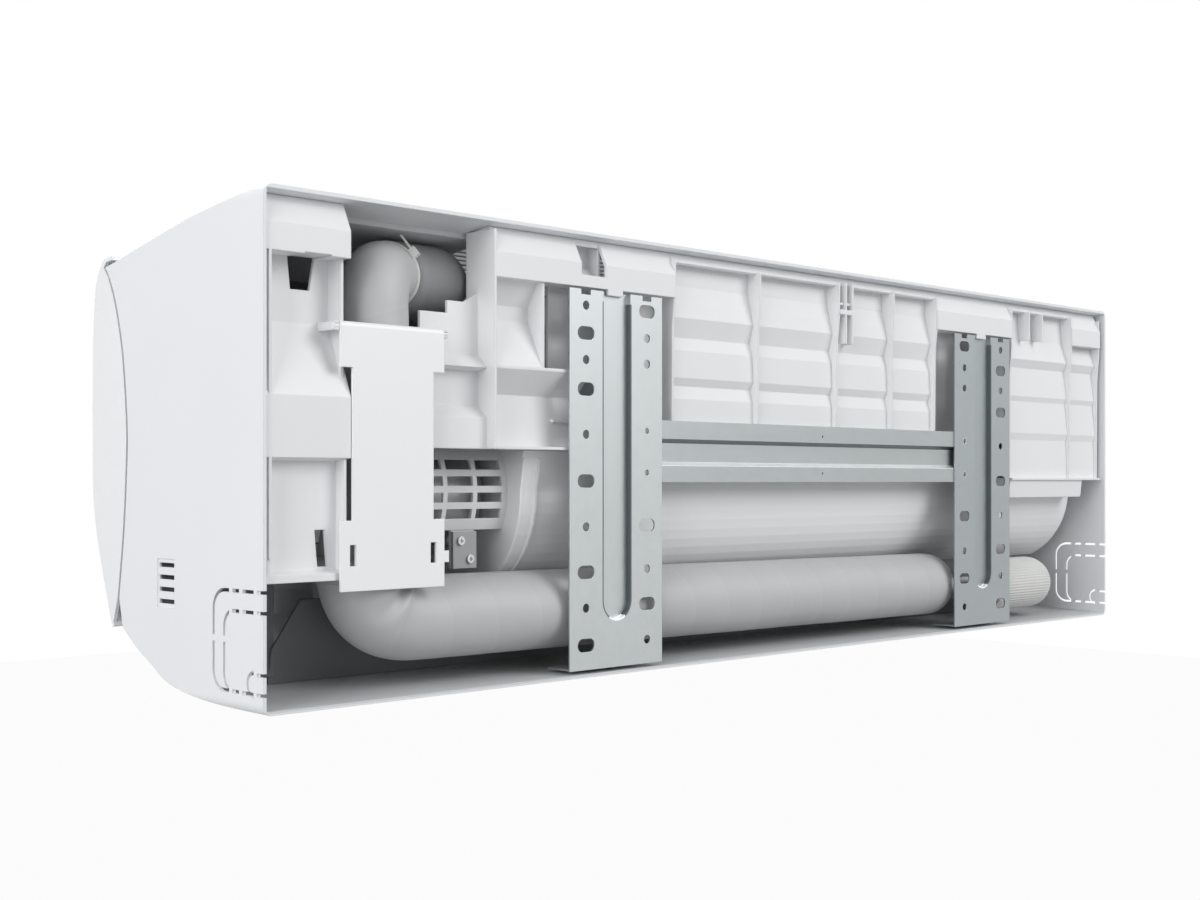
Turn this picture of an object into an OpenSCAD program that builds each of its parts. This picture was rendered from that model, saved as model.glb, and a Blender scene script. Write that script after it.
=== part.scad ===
// Indoor unit of a split air conditioner, hung on its steel wall plate.
// X runs along the unit, Y = 0 is the wall, the room lies towards -Y and Z is up.
// Inside the modules a depth is measured from the wall into the room, and a height from the
// underside of the casing. Left and right are as seen from the room, so right is towards +X.
// The finished part has its origin at the centre of the wall screws.

/* [Casing] */
// Length of the casing, end to end
unit_len = 1080; // [1076:1:1100]
// Height of the casing at the wall
unit_h = 335; // [333:1:341]
// Depth from the wall to the front of the panel
unit_depth = 226; // [225:0.5:230]
// Wall of the moulded casing
shell_t = 2.6; // [2.3:0.1:2.9]
// Wall of the swinging front panel
panel_t = 2.6; // [2.2:0.1:3]
// Open seam between the casing and the front panel
seam_gap = 2.5; // [2:0.1:3]

/* [Wall plate] */
// Height of the two upright brackets
plate_h = 286; // [280:1:288]
// Height of the foot of the brackets above the underside of the casing
plate_z = 6; // [5:0.5:7]
// Width of one bracket
bracket_w = 100; // [96:1:104]
// Distance between the middles of the two brackets
bracket_span = 516; // [508:1:522]
// Place of the middle of the plate along the unit
plate_x = -32; // [-36:1:-28]
// Thickness of the galvanised sheet
sheet_t = 1.4; // [1:0.1:1.6]
// Width of the pressed groove in a bracket
groove_w = 32; // [28:1:34]
// Depth of the pressed groove
groove_depth = 4.5; // [3:0.5:4.5]
// Diameter of a wall screw hole
screw_hole_d = 6.8; // [5:0.2:7.4]
// Length of a screw slot
slot_w = 17.5; // [14:0.5:18]
// Height of a screw slot
slot_h = 10; // [8:0.5:10]
// Height of the cross bar
bar_h = 49; // [46:1:50]
// Height of the foot of the cross bar above the underside of the casing
bar_z = 147; // [145:1:149]

/* [Fan] */
// Outside diameter of the fan wheel
fan_d = 108; // [104:1:109]
// Depth of the fan axis from the wall
fan_axis_d = 105; // [104.5:0.5:105.5]
// Height of the fan axis above the underside of the casing
fan_axis_z = 140; // [139:0.5:141]
// Number of blades round the wheel
fan_blades = 32; // [24:1:36]
// Diameter of the steel fan shaft
shaft_d = 8; // [6:0.5:9]
// Running clearance of a shaft or pin, on the radius
running_gap = 0.05; // [0.03:0.01:0.08]
// Diameter of the fan motor
motor_d = 84; // [78:1:86]
// Length of the fan motor
motor_len = 62; // [56:1:66]

/* [Louvre and vanes] */
// Thickness of the louvre blade
louvre_t = 2.4; // [2:0.1:3]
// Diameter of the louvre end pins
louvre_pin_d = 6; // [5:0.5:6]
// Number of vanes in one bank
vane_count = 5; // [5:1:5]
// Distance between neighbouring vanes
vane_pitch = 76; // [72:1:78]
// Thickness of a vane
vane_t = 1.8; // [1.5:0.1:2]

/* [Heat exchanger] */
// Thickness of a fin block
coil_t = 20; // [18:0.5:20.5]
// Outside diameter of a tube of the heat exchanger
tube_d = 7; // [6:0.5:8]

/* [Pipes] */
// Outside diameter of the wrapped pipes along the back
wrap_d = 60; // [56:1:60]
// Outside diameter of the wrapped pipes that come down the channel
leg_d = 50; // [46:1:51]
// Outside diameter of the insulated pipes at the heat exchanger
bundle_d = 56; // [52:1:56]
// Outside diameter of the pleated joint sleeve
sleeve_d = 54; // [52:1:56]
// Outside diameter of the gas pipe
gas_pipe_d = 12.7; // [9.5:0.1:12.7]
// Outside diameter of the liquid pipe
liquid_pipe_d = 6.4; // [6.4:0.1:7.9]

/* [Covers] */
// Width of the pipe retainer at its ears
retainer_w = 86; // [80:1:87]
// Height of the pipe retainer
retainer_h = 177.5; // [172:0.5:178]
// Thickness of the pipe retainer
retainer_t = 2.2; // [1.8:0.1:2.4]
// Travel of the manual button
button_travel = 1.5; // [1:0.1:1.8]

/* [Hidden] */

// Fineness of large, middling and small round surfaces
round_fn = 64;
small_fn = 32;
tiny_fn = 20;
// Extra length that carries every cut through the face that it opens
overrun = 1;
// Gap between pieces that slide or swing past each other
free_gap = 0.4;
// Gap between pieces that are seated on each other
seat_gap = 0.2;

// Outlines of the casing and panel, each point a share of the depth and a share of the height
bottom_marks = [[0, 0.001], [0.235, 0.006], [0.403, 0.0173], [0.535, 0.0358], [0.619, 0.0642],
    [0.721, 0.0985], [0.801, 0.1343]];
seam_marks = [[0.823, 0.194], [0.788, 0.343], [0.77, 0.487], [0.77, 0.57], [0.796, 0.71],
    [0.841, 0.815], [0.885, 0.875], [0.916, 0.9]];
top_shares = [[0, 1], [0.407, 0.964], [0.854, 0.907], [0.916, 0.9]];
front_shares = [0.854, 0.188];
ease_steps = 3;
panel_marks = [[0.867, 0.131], [0.885, 0.161], [0.92, 0.224], [0.969, 0.322], [0.9955, 0.418],
    [1, 0.585], [0.9955, 0.752], [0.982, 0.848], [0.965, 0.884], [0.938, 0.909], [0.9115, 0.9185],
    [0.8715, 0.921]];

// Places on the casing
end_x = unit_len / 2;
inner_x = end_x - shell_t;
corner_r = 3 * shell_t;
frame_inset = 8;
frame_x = end_x - frame_inset;
front_d = unit_depth * front_shares[0];
front_foot_z = unit_h * front_shares[1];

// Slotted vent in the right-hand end
vent_d = [109, 132];
vent_z = [62, 95];
vent_recess = 0.8;
vent_slots = 4;
vent_slot_h = 3;
vent_margin = 1.6;

// Knock-outs for pipes at the lower back of both ends: reach, top and corner radius of each
knock_foot = 12;
knock_outlines = [[60, 79, 14], [47, 66, 12], [19, 27, 8]];
knock_slot = 2.4;
knock_bridge = 4;
knock_bridges_d = [7, 24, 36];
knock_bridge_z = 44;

// Hinge of the front panel
hinge_in = 36;
hinge_ear = 6;
hinge_pin_r = 1.6;
hinge_knuckle_r = 3.2;
hinge_knuckle_w = 6;
hinge_ahead = 4.5;
hinge_above = 1.8;
hinge_d = front_d + hinge_ahead;
hinge_z = unit_h * top_shares[2][1] + hinge_above;

// Intake grille in the top
grille_d = [36, 170];
grille_in = 44;
grille_rim = 5;
grille_slots = 13;
grille_columns = 12;
grille_shut = 2;
grille_bar = 3.2;
grille_depth = 6;

// Wall plate, its rows of holes given as shares of the height of a bracket
bracket_x = [plate_x + bracket_span / 2, plate_x - bracket_span / 2];
strip_off = (bracket_w + groove_w) / 4;
outer_hole_shares = [0.958, 0.815, 0.619, 0.376, 0.1626];
outer_slot_shares = [0.885, 0.738, 0.4965, 0.257, 0.065];
inner_hole_shares = [0.885, 0.815, 0.257, 0.065];
inner_slot_shares = [0.958, 0.376, 0.1626];
rivet_shares = [0.633, 0.5195];
groove_foot = 35;
notch_w = 10;
notch_h = 4;
foot_tab = 26;
foot_tab_in = [22, 2];
bar_lap = 30;
bar_step = 4;
bar_mark_r = 1;
bar_step_shares = [1, 0.7, 0.64, 0.33, 0.27, 0];
rivet_r = 3.2;
rivet_hole_r = 2.4;
rivet_head_r = 4;
rivet_head_t = 0.9;
origin_z = plate_z + plate_h * (outer_hole_shares[0] + outer_hole_shares[4]) / 2;

// Chassis: its rail, cells and pockets
wall_t = 2.4;
rib_t = 2.2;
rail_drop = 41;
rail_face = 18;
rail_lean = 9;
rail_reach = 26;
rail_d = 1.6;
rail_z = unit_h - rail_drop;
cell_top = unit_h - 12;
cell_foot = 192;
cell_depth = 16;
cell_edges = [190, 84, -26, -110, -181];
cell_shares = [[-0.008, 1], [0.13, 0.97], [0.24, 0.75], [0.33, 0.6], [0.45, 0.86], [0.53, 0.66],
    [0.7, 0.6], [0.75, 0.8], [0.83, 0.63], [1, 0.63]];
rib_edge_shares = [[0, 0.16], [0.22, 0.16], [0.38, 0.3], [1, 0.34]];
clip_w = 20;
clip_drop = 52;
behind_plate_d = 22;
low_in = [9, 192];
low_rib_in = 70;
low_fins_in = [157, 131];
low_foot = 149;
low_shelf_d = 27;
low_box_foot = 131;
low_box_in = [36, 205];
low_shares = [[-0.006, 1], [0.16, 0.85], [0.28, 0.45], [0.33, 0.72], [0.5, 0.5], [0.53, 0.62], [0.72, 0.42],
    [0.76, 0.55], [0.9, 0.5], [1, 0.5]];
column_in = 68;
partition_in = 194;
partition_d = 33;
partition_foot = 171;
pocket_in = 262;
pocket_split = 229;
pocket_depth = 20;
recess_w = 20;
step_shares = [0.25, 0.5, 0.9];
hook_w = 27;
hook_drop = 9;
notch_in = [278, 304];

// End column beside the pipes
column_pocket_d = 22;
column_lower_d = 13;
column_bend_z = 251;
column_face_z = [203, 163];
column_pocket_foot = 90;
column_foot = 83;
column_slot_in = [32, 53];
column_slot_z = [273, 295];
column_low_slot_in = [47, 55];
column_low_slot_z = [92, 116];
side_plate_d = 120;

// Air path round the fan: outer radius of the scroll at its top and foot
scroll_r = [79, 81];
scroll_angles = [180, 246];
scroll_steps = 11;
scroll_top_d = 16;
scroll_bend = [22, 165];
scroll_rib = 1.2;
scroll_rib_in = 15;
rest_d = [36, 52];
rest_z = [190, 199.4];
rest_w = 3;
air_in = [239, 37];
air_x = [air_in[1] - end_x, end_x - air_in[0]];
duct_top = [75.5, 64];
duct_lip = [100, 13];
duct_back = 84;
duct_skirt_in = 57;
nose = [158, 116];
nose_bend = [160.5, 88];
nose_foot = [176, 53];

// Fan wheel, its shaft, bearing and motor
fan_gap = 5;
fan_x = [air_x[0] + fan_gap, air_x[1] - fan_gap];
fan_r = fan_d / 2;
fan_sections = 8;
fan_disc_t = 2;
fan_root_share = 0.76;
blade_t = 1.1;
blade_inset = 0.6;
blade_lean = 24;
hub_r = 17;
hub_len = 16;
shaft_r = shaft_d / 2;
shaft_grip = 30;
shaft_reach = 34;
bearing_r = 11;
bearing_len = 12;
motor_x = air_x[1] + 7;
motor_boss_r = 18;
motor_boss = 4.4;
cover_r = 66;
cover_in = [236.4, 142];
cover_angles = [137, 205];
cover_slot_h = 7;
cover_slot_rows = [-16, -4, 8, 20];
cover_slot_x = [5, 33, 61];
cover_slot_w = 24;
cradle_in = [225, 184];
clip_in = [188, 210];
clip_d = [43.2, 46];
clip_z = [84, 111];
clip_lug_z = 114.6;
clip_screws = [[0.3, 0.25], [0.7, 0.75]];
blade_steps = 3;
holder_t = 5;

// Louvre and its motor
louvre_span = [105, 175.5];
louvre_steps = 8;
louvre_end_gap = 1.5;
louvre_axis = [122, 26];
louvre_arm_t = 3;
louvre_arm_r = 5;
louvre_arm_span = [112, 132];
louvre_lift = 0.3;
outlet_span = [103, 177];
louvre_pin = louvre_pin_d / 2;
stepper_r = 14;
stepper_len = 19;
stepper_off = [-4, 7];
stepper_ear = 4;
stepper_flange = 1;
stepper_socket = [4, 15];
pin_grip = 6;

// Vanes: places along the duct wall, heights above it, and the bank starts
vane_s = [4, 29];
vane_n = [1.5, 58];
vane_cut = [14, 40];
vane_pivot_s = 12;
vane_pin_r = 2;
vane_pin_len = 4;
link_s = 25;
link_n = [49, 51.4];
link_half = 2.6;
link_pin_r = 1.3;
link_notch_s = 20.4;
link_notch_n = [47.4, 53];
link_end = 7;
bank_in = [80, 484];

// Heat exchanger: middle lines of the three fin blocks
coil_in = [210, 40];
coil_x = [coil_in[1] - end_x, end_x - coil_in[0]];
front_coil_d = 173.4;
front_coil_z = [92, 214];
upper_line = [[172, 222], [112, unit_h - 43]];
rear_line = [[94, unit_h - 45], [40, 205]];
sheet_over = 3;
foot_rest = [166, 181];
foot_rest_w = 6;
bend_r = 8;
bend_rows = [0.3, 0.6, 0.9];

// Drain pan below the front fin block, its plug and hose
pan_z = 82;
pan_wall_top = 94;
pan_x = [air_x[0] - 10, end_x - 190];
spout_r = 6;
spout_len = 12;
hose_r = 8.5;
// Bends of the hose: distance beyond the pan, depth and height
hose_path = [[0, 176, 76], [24, 176, 70], [52, 132, 56], [56, 82, 46], [57, 58, 45]];
duct_facet = [[60, 81], [7.8, 107]];
facet_z = 13;
skirt_foot_z = 32;
skirt_slant = 19;

// Air filters
filter_t = 2.8;
filter_back = 185.6;
filter_foot = 98.8;
filter_in = [40, 128];
filter_split = -44;
filter_gap = 6;
filter_rim = 7;
filter_bar = 2;
filter_columns = 8;
filter_rows = 4;
net_t = 0.6;
filter_ledge = 2.4;
guide_w = 3;
window_z = [112, 282];
window_in = 10;

// Wrapped pipes: places along the unit are distances from the right-hand end
leg_in = 108;
leg_foot_in = 99;
leg_centre_d = 33;
leg_top_z = unit_h - 42;
leg_bend_z = 170;
elbow_r = 45;
elbow_z = 97;
wrap_centre_d = 36.3;
wrap_fall = 5.5;
wrap_end_in = 809;
bundle_in = [181, 148];
bundle_centre = [62, unit_h - 43];
neck_r = 24;
neck_len = 33;
tie_at = 27;
tie_w = 4;
tie_t = 1.2;
tie_head = [5, 7, 5];
tie_head_angle = 38;
tie_tail = 12;
gas_path = [[174, 72, 288], [195, 89.4, 282.8], [208.4, 89.4, 282.8]];
liquid_path = [[170, 80, 284], [188, 120, 262], [197, 167.4, 227.3], [208.4, 167.4, 227.3]];
sleeve_in = [885, 998];
sleeve_z = 40;
sleeve_wall = 2.2;
sleeve_pleats = 30;
sleeve_pleat = 1.3;
sleeve_dome = 27;
collar_t = 3;
joint_end_in = 965;
gas_off = [-8, -4];
liquid_off = [10, 6];
nut_len = 20;
gas_nut_af = 24;
liquid_nut_af = 17;
nut_in = [915, 945];
joint_grip = 12;

// Pipe retainer, hinged at its top on the chassis
retainer_in = 59;
retainer_z = 75.5;
retainer_ear = [27, 46.5];
retainer_neck = 9.5;
retainer_slot = [5, 14];
retainer_slot_z = 92;
retainer_catch = 4;
retainer_pin_r = 2;
retainer_pin_len = 4;
retainer_pin_d = 3.4;
retainer_pin_drop = 3.4;
retainer_x = [end_x - retainer_in - retainer_w, end_x - retainer_in];
retainer_top = retainer_z + retainer_h;

// Control box and boards at the right-hand end
box_in = [7.6, 114];
box_d = [94, 166];
box_z = [104, 282];
box_t = 2;
board_t = 1.6;
board_off = 12;
board_in = 11;
// Parts on the board: places as shares of the board, then width, height and stand
board_blocks = [[0.08, 0.7, 34, 26, 24], [0.62, 0.78, 18, 15, 15], [0.62, 0.62, 18, 15, 15],
    [0.1, 0.42, 22, 9, 3], [0.5, 0.3, 30, 12, 2.5], [0.1, 0.08, 60, 8, 10]];
board_cans = [[0.72, 0.48, 8, 26], [0.5, 0.5, 5, 12], [0.88, 0.2, 4, 10]];
box_slot_d = [120, 134];
box_slot_z = [230, 250];
block_size = [50, 18, 22];
block_in = 20;
block_ways = 5;
display_in = [30, 104];
display_z = [150, 196];
display_back = 183;
button_in = 60;
button_z = 175;
button_r = 4;
button_cap_r = 5;
button_cap_t = 2.6;
button_slack = 0.2;
switch_w = 6;
switch_h = 3.5;
post_w = 4;
sensor_r = 2.6;
sensor_len = 12;
sensor_z = 150;
lamp_count = 5;
lamp_in = 10;
lamp_pitch = 7;
lamp_r = 1.5;
lamp_h = 1.5;
screw_r = 1.6;
screw_head_r = 3.2;
screw_head_t = 1.8;
screw_len = 9;
screw_cross = 0.8;
screw_boss_r = 3.6;

// Extra points on a smooth curve through the marks of an outline
function eased(marks) = concat([for (i = [0 : len(marks) - 2], k = [0 : ease_steps - 1]) let (
    t = k / ease_steps,
    a = marks[max(i - 1, 0)],
    b = marks[i],
    c = marks[i + 1],
    d = marks[min(i + 2, len(marks) - 1)])
    b + (c - a) * t / 2 + (2 * a - 5 * b + 4 * c - d) / 2 * t * t + (3 * (b - c) + d - a) * t * t * t / 2],
    [marks[len(marks) - 1]]);
bottom_shares = eased(bottom_marks);
seam_shares = eased(seam_marks);
panel_shares = eased(panel_marks);
function outline(table) = [for (s = table) [unit_depth * s[0], unit_h * s[1]]];
function reversed(list) = [for (i = [len(list) - 1 : -1 : 0]) list[i]];
function skin_bottom(d) = unit_h * lookup(d / unit_depth, bottom_shares);
function skin_top(d) = unit_h * lookup(d / unit_depth, top_shares);
function under_top(d) = skin_top(d) - shell_t - seat_gap;
function above_floor(d) = skin_bottom(d) + shell_t + seat_gap;
function unit_vec(v) = v / norm(v);
// Depth of the nose line below its bend
function nose_d(z) = nose_bend[0]
    + (nose_foot[0] - nose_bend[0]) * (nose_bend[1] - z) / (nose_bend[1] - nose_foot[1]);
function left_of(v) = [-v[1], v[0]];
// Point i of an open path, moved square to the path by t towards its left
function stepped(path, i, t) = let (
    before = i > 0 ? unit_vec(path[i] - path[i - 1]) : unit_vec(path[1] - path[0]),
    after = i < len(path) - 1 ? unit_vec(path[i + 1] - path[i]) : before,
    middle = unit_vec(before + after))
    path[i] + left_of(middle) * t / (middle * before);
// Closed outline of a wall of thickness t laid on the left of an open path
function ribbon(path, t) = concat(path, [for (i = [len(path) - 1 : -1 : 0]) stepped(path, i, t)]);
function spiral(i) = let (
    share = i / scroll_steps,
    angle = scroll_angles[0] + (scroll_angles[1] - scroll_angles[0]) * share,
    r = scroll_r[0] + (scroll_r[1] - scroll_r[0]) * share)
    [fan_axis_d + r * cos(angle), fan_axis_z + r * sin(angle)];

end_path = concat(outline(bottom_shares), outline(seam_shares),
    [for (i = [2 : -1 : 0]) outline(top_shares)[i]]);
front_path = concat(outline(bottom_shares), [[front_d, front_foot_z], [front_d, skin_top(front_d)]],
    [for (i = [1 : -1 : 0]) outline(top_shares)[i]]);
panel_path = outline(panel_shares);
scroll_path = concat([[scroll_top_d, cell_foot - 3 * seat_gap], scroll_bend],
    [for (i = [0 : scroll_steps]) spiral(i)]);

// Frame and drawing helpers
module seated() translate([-plate_x, 0, -origin_z]) children();
module block(x, d, z) translate([x[0], -d[1], z[0]]) cube([x[1] - x[0], d[1] - d[0], z[1] - z[0]]);
module along_x(x0, x1) translate([x0, 0, 0]) mirror([0, 1, 0]) rotate([90, 0, 90])
    linear_extrude(x1 - x0) children();
module towards_room(d0, d1) translate([0, -d0, 0]) rotate([90, 0, 0]) linear_extrude(d1 - d0) children();
module rod_x(x0, x1, d, z, r, fn = small_fn) translate([x0, -d, z]) rotate([0, 90, 0])
    cylinder(h = x1 - x0, r = r, $fn = fn);
module rod_d(d0, d1, x, z, r, fn = tiny_fn) translate([x, -d0, z]) rotate([90, 0, 0])
    cylinder(h = d1 - d0, r = r, $fn = fn);
module facing(p, q) translate(p)
    rotate([0, acos((q - p)[2] / norm(q - p)), atan2((q - p)[1], (q - p)[0])]) children();
module limb(p, q, r1, r2, fn = small_fn) facing(p, q) cylinder(h = norm(q - p), r1 = r1, r2 = r2, $fn = fn);
module ball(p, r, fn = small_fn) translate(p) sphere(r = r, $fn = fn);
module pipe_run(points, r, fn = tiny_fn) {
    for (i = [0 : len(points) - 2]) limb(points[i], points[i + 1], r, r, fn);
    for (i = [1 : len(points) - 2]) ball(points[i], r, fn);
}
module rounded(a, b, r) {
    translate([a[0], b[0] + r]) square([a[1] - a[0], b[1] - b[0] - 2 * r]);
    translate([a[0] + r, b[0]]) square([a[1] - a[0] - 2 * r, b[1] - b[0]]);
    for (u = [a[0] + r, a[1] - r], v = [b[0] + r, b[1] - r]) translate([u, v]) circle(r, $fn = small_fn);
}
module both_ends() for (side = [0, 1]) mirror([side, 0, 0]) children();
// Frame of the duct wall: X along the unit, depth down the air stream, height into the air stream
module on_duct() translate([0, -duct_top[0], duct_top[1]])
    rotate([atan2(duct_top[1] - duct_lip[1], duct_lip[0] - duct_top[0]), 0, 0]) children();

// Outer shell, open at the wall
module casing_skin() intersection() {
    union() {
        along_x(-frame_x, frame_x) polygon(ribbon(front_path, shell_t));
        both_ends() {
            along_x(frame_x, end_x) polygon(ribbon(end_path, shell_t));
            along_x(inner_x, end_x) polygon(end_path);
            along_x(frame_x - shell_t, frame_x) difference() {
                polygon(front_path);
                polygon([for (i = [0 : len(end_path) - 1]) stepped(end_path, i, shell_t)]);
            }
        }
    }
    towards_room(0, unit_depth) rounded([-end_x, end_x], [0, unit_h], corner_r);
}
module knock_ring(reach, top, r) difference() {
    rounded([-top, reach], [knock_foot, top], r);
    rounded([-top, reach - knock_slot], [knock_foot + knock_slot, top - knock_slot], r - knock_slot);
    for (d = knock_bridges_d) translate([d, 0]) square([knock_bridge, unit_h]);
    translate([0, knock_bridge_z]) square([unit_depth, knock_bridge]);
}
module end_vent() {
    block([end_x - vent_recess, end_x + overrun], vent_d, vent_z);
    pitch = (vent_z[1] - vent_z[0]) / vent_slots;
    for (i = [0 : vent_slots - 1]) {
        z = vent_z[0] + pitch * (i + 1 / 2) - vent_slot_h / 2;
        block([inner_x - overrun, end_x], [vent_d[0] + vent_margin, vent_d[1] - vent_margin],
            [z, z + vent_slot_h]);
    }
}
module outlet_cut() along_x(air_x[0], air_x[1]) polygon([[outlet_span[0], -overrun],
    [outlet_span[1], -overrun], [outlet_span[1], skin_bottom(outlet_span[1]) + 2 * shell_t],
    [outlet_span[0], skin_bottom(outlet_span[0]) + 2 * shell_t]]);
module hinge_ears() both_ends() {
    x = end_x - hinge_in;
    block([x - hinge_ear / 2, x + hinge_ear / 2], [front_d - shell_t, hinge_d + hinge_knuckle_r],
        [hinge_z - 2 * hinge_knuckle_r, hinge_z + hinge_pin_r]);
    rod_x(x - hinge_ear / 2 - hinge_knuckle_w, x + hinge_ear / 2 + hinge_knuckle_w, hinge_d, hinge_z,
        hinge_pin_r, tiny_fn);
}
filter_x = [filter_in[0] - end_x, end_x - filter_in[1]];
filter_r = [filter_split + filter_gap / 2, filter_x[1]];
filter_l = [filter_x[0], filter_split - filter_gap / 2];
filter_d = [filter_back, filter_back + filter_t];
module filter_guides() for (x = [filter_l[0] - free_gap - guide_w, filter_l[1] + free_gap,
        filter_r[1] + free_gap])
    block([x, x + guide_w], [filter_back, front_d - shell_t / 2], [filter_foot, window_z[1]]);
module front_casing() color("whitesmoke") seated() {
    difference() {
        union() {
            casing_skin();
            hinge_ears();
            filter_guides();
            block([filter_x[0], filter_x[1]], [filter_back, front_d - shell_t / 2],
                [filter_foot - filter_ledge, filter_foot]);
            for (x = [end_x - display_in[1] + post_w, end_x - display_in[0] - 2 * post_w],
                    z = [display_z[0] + post_w, display_z[1] - 2 * post_w])
                block([x, x + post_w], [display_back + board_t, front_d - shell_t / 2], [z, z + post_w]);
        }
        both_ends() along_x(inner_x - overrun, end_x + overrun)
            for (k = knock_outlines) knock_ring(k[0], k[1], k[2]);
        end_vent();
        outlet_cut();
        block([grille_in - end_x, end_x - grille_in], grille_d,
            [hinge_z - 3 * grille_depth, unit_h + overrun]);
        for (f = [filter_l, filter_r]) {
            block([f[0] + window_in, f[1] - window_in], [front_d - 2 * shell_t, front_d + overrun], window_z);
            block([f[0] - free_gap, f[1] + free_gap], [filter_d[0] - free_gap, filter_d[1] + free_gap],
                [window_z[1] + window_in, unit_h]);
        }
        rod_d(front_d - 2 * shell_t, front_d + overrun, end_x - button_in, button_z,
            button_r + 2 * running_gap, small_fn);
    }
}

// Swinging panel over the front, with a closed wall at each end
module front_panel() color("white") seated() {
    last = len(panel_path) - 1;
    seam_back = [for (s = reversed(outline(seam_shares))) s + [seam_gap, 0]];
    difference() {
        union() {
            along_x(-end_x, end_x) polygon(ribbon(panel_path, panel_t));
            both_ends() along_x(end_x - panel_t, end_x)
                polygon(concat(panel_path,
                    [for (i = [last, last - ease_steps]) stepped(panel_path, i, panel_t)], seam_back));
            both_ends() for (side = [-1, 1]) {
                x = end_x - hinge_in + side * (hinge_ear + hinge_knuckle_w + 2 * free_gap) / 2;
                half = hinge_knuckle_w / 2;
                rod_x(x - half, x + half, hinge_d, hinge_z, hinge_knuckle_r, small_fn);
                block([x - half, x + half], [hinge_d, hinge_d + 3 * hinge_knuckle_r],
                    [hinge_z, hinge_z + hinge_knuckle_r]);
            }
        }
        both_ends() {
            x = end_x - hinge_in;
            block([x - hinge_ear / 2 - free_gap, x + hinge_ear / 2 + free_gap],
                [front_d - shell_t, hinge_d + hinge_knuckle_r + free_gap],
                [hinge_z - 3 * hinge_knuckle_r, hinge_z + 3 * hinge_knuckle_r]);
            rod_x(x - 2 * hinge_knuckle_w - hinge_ear, x + 2 * hinge_knuckle_w + hinge_ear, hinge_d, hinge_z,
                hinge_pin_r + running_gap, tiny_fn);
        }
    }
}

// Bars over the air intake, following the slope of the top
module intake_grille() color("gainsboro") seated() {
    x0 = grille_in - end_x + seat_gap;
    x1 = end_x - grille_in - seat_gap;
    d0 = grille_d[0] + seat_gap;
    d1 = grille_d[1] - seat_gap;
    column = (x1 - x0 - 2 * grille_rim + grille_bar) / grille_columns;
    row = (d1 - d0 - 2 * grille_rim + grille_bar) / grille_slots;
    bend_d = outline(top_shares)[1][0];
    top = [[d0, skin_top(d0)], [bend_d, skin_top(bend_d)], [d1, skin_top(d1)]];
    difference() {
        along_x(x0, x1) polygon(concat(top, [for (p = reversed(top)) p - [0, grille_depth]]));
        for (i = [0 : grille_columns - 1 - grille_shut], j = [0 : grille_slots - 1])
            block([x0 + grille_rim + i * column, x0 + grille_rim + (i + 1) * column - grille_bar],
                [d0 + grille_rim + j * row, d0 + grille_rim + (j + 1) * row - grille_bar],
                [unit_h / 2, unit_h]);
    }
}

// Ribbed moulding that hangs on the wall plate
rail_path = [[rail_d, rail_z], [rail_d, rail_z + rail_face],
    [rail_d + rail_lean, under_top(rail_d + rail_lean)], [rail_reach, under_top(rail_reach)]];
high_rail_path = [[rail_d + rail_lean / 2, cell_top], rail_path[2], rail_path[3]];
cell_x = [for (e = cell_edges) plate_x + e];
function cell_wall(table, depth, top, foot) = [for (s = table) [depth * s[1], top - (top - foot) * s[0]]];
module rail(x0, x1) {
    along_x(x0, x1) polygon(ribbon(rail_path, -wall_t));
    block([x0, x1], [rail_d, behind_plate_d], [rail_z, rail_z + wall_t]);
}
module high_rail(x0, x1) {
    along_x(x0, x1) polygon(ribbon(high_rail_path, -wall_t));
    block([x0, x1], [rail_d + rail_lean / 2, rail_reach], [cell_top, cell_top + wall_t]);
}
module cell_rib(x, t, path) {
    top = path[0][1];
    foot = path[len(path) - 1][1];
    along_x(x - t / 2, x + t / 2) polygon(concat(
        [for (s = rib_edge_shares) [cell_depth * s[1], top - (top - foot) * s[0]]],
        [for (p = reversed(path)) p + [wall_t / 2, 0]]));
}
module middle_cells() {
    path = cell_wall(cell_shares, cell_depth, cell_top, cell_foot);
    x0 = cell_x[len(cell_x) - 1];
    x1 = cell_x[0];
    along_x(x0, x1) polygon(ribbon(path, wall_t));
    for (x = cell_x) cell_rib(x, rib_t, path);
    block([x0, x1], [cell_depth * rib_edge_shares[3][1], behind_plate_d], [cell_foot, cell_foot + rib_t]);
    high_rail(x0, x1);
    // Clip with a stepped nose, hung beside the third rib
    c = cell_x[2] - clip_w;
    for (x = [c, c + clip_w / 2])
        block([x, x + rib_t], [rail_d, cell_depth], [cell_top - clip_drop, unit_h - rail_lean]);
    block([c, cell_x[2]], [rail_d + rib_t, cell_depth],
        [cell_top - clip_drop / 3, cell_top - clip_drop / 3 + rib_t]);
    block([c + rib_t, cell_x[2]], [rail_d, cell_depth],
        [cell_top - clip_drop / 2, cell_top - clip_drop / 2 + 2 * rib_t]);
}
module low_cells() {
    path = cell_wall(low_shares, cell_depth, cell_top, low_foot);
    x0 = low_in[0] - end_x;
    x1 = low_in[1] - end_x;
    rib_x = low_rib_in - end_x;
    along_x(x0, x1) polygon(ribbon(path, wall_t));
    for (x = [x0 + rib_t / 2, rib_x, x1 - rib_t / 2]) cell_rib(x, rib_t, path);
    for (f = low_fins_in) block([f - end_x, f - end_x + rib_t], [rail_d, cell_depth], [rail_z, cell_top]);
    block([x0, x1], [rail_d, low_shelf_d], [low_foot, low_foot + rib_t]);
    along_x(x0 + low_box_in[0], x1) polygon([[rail_d + rib_t, low_foot], [low_shelf_d, low_foot],
        [low_shelf_d, low_box_foot], [rail_d + 2 * rib_t, low_box_foot]]);
    rail(x0, rib_x);
    high_rail(rib_x, x1);
}
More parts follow.
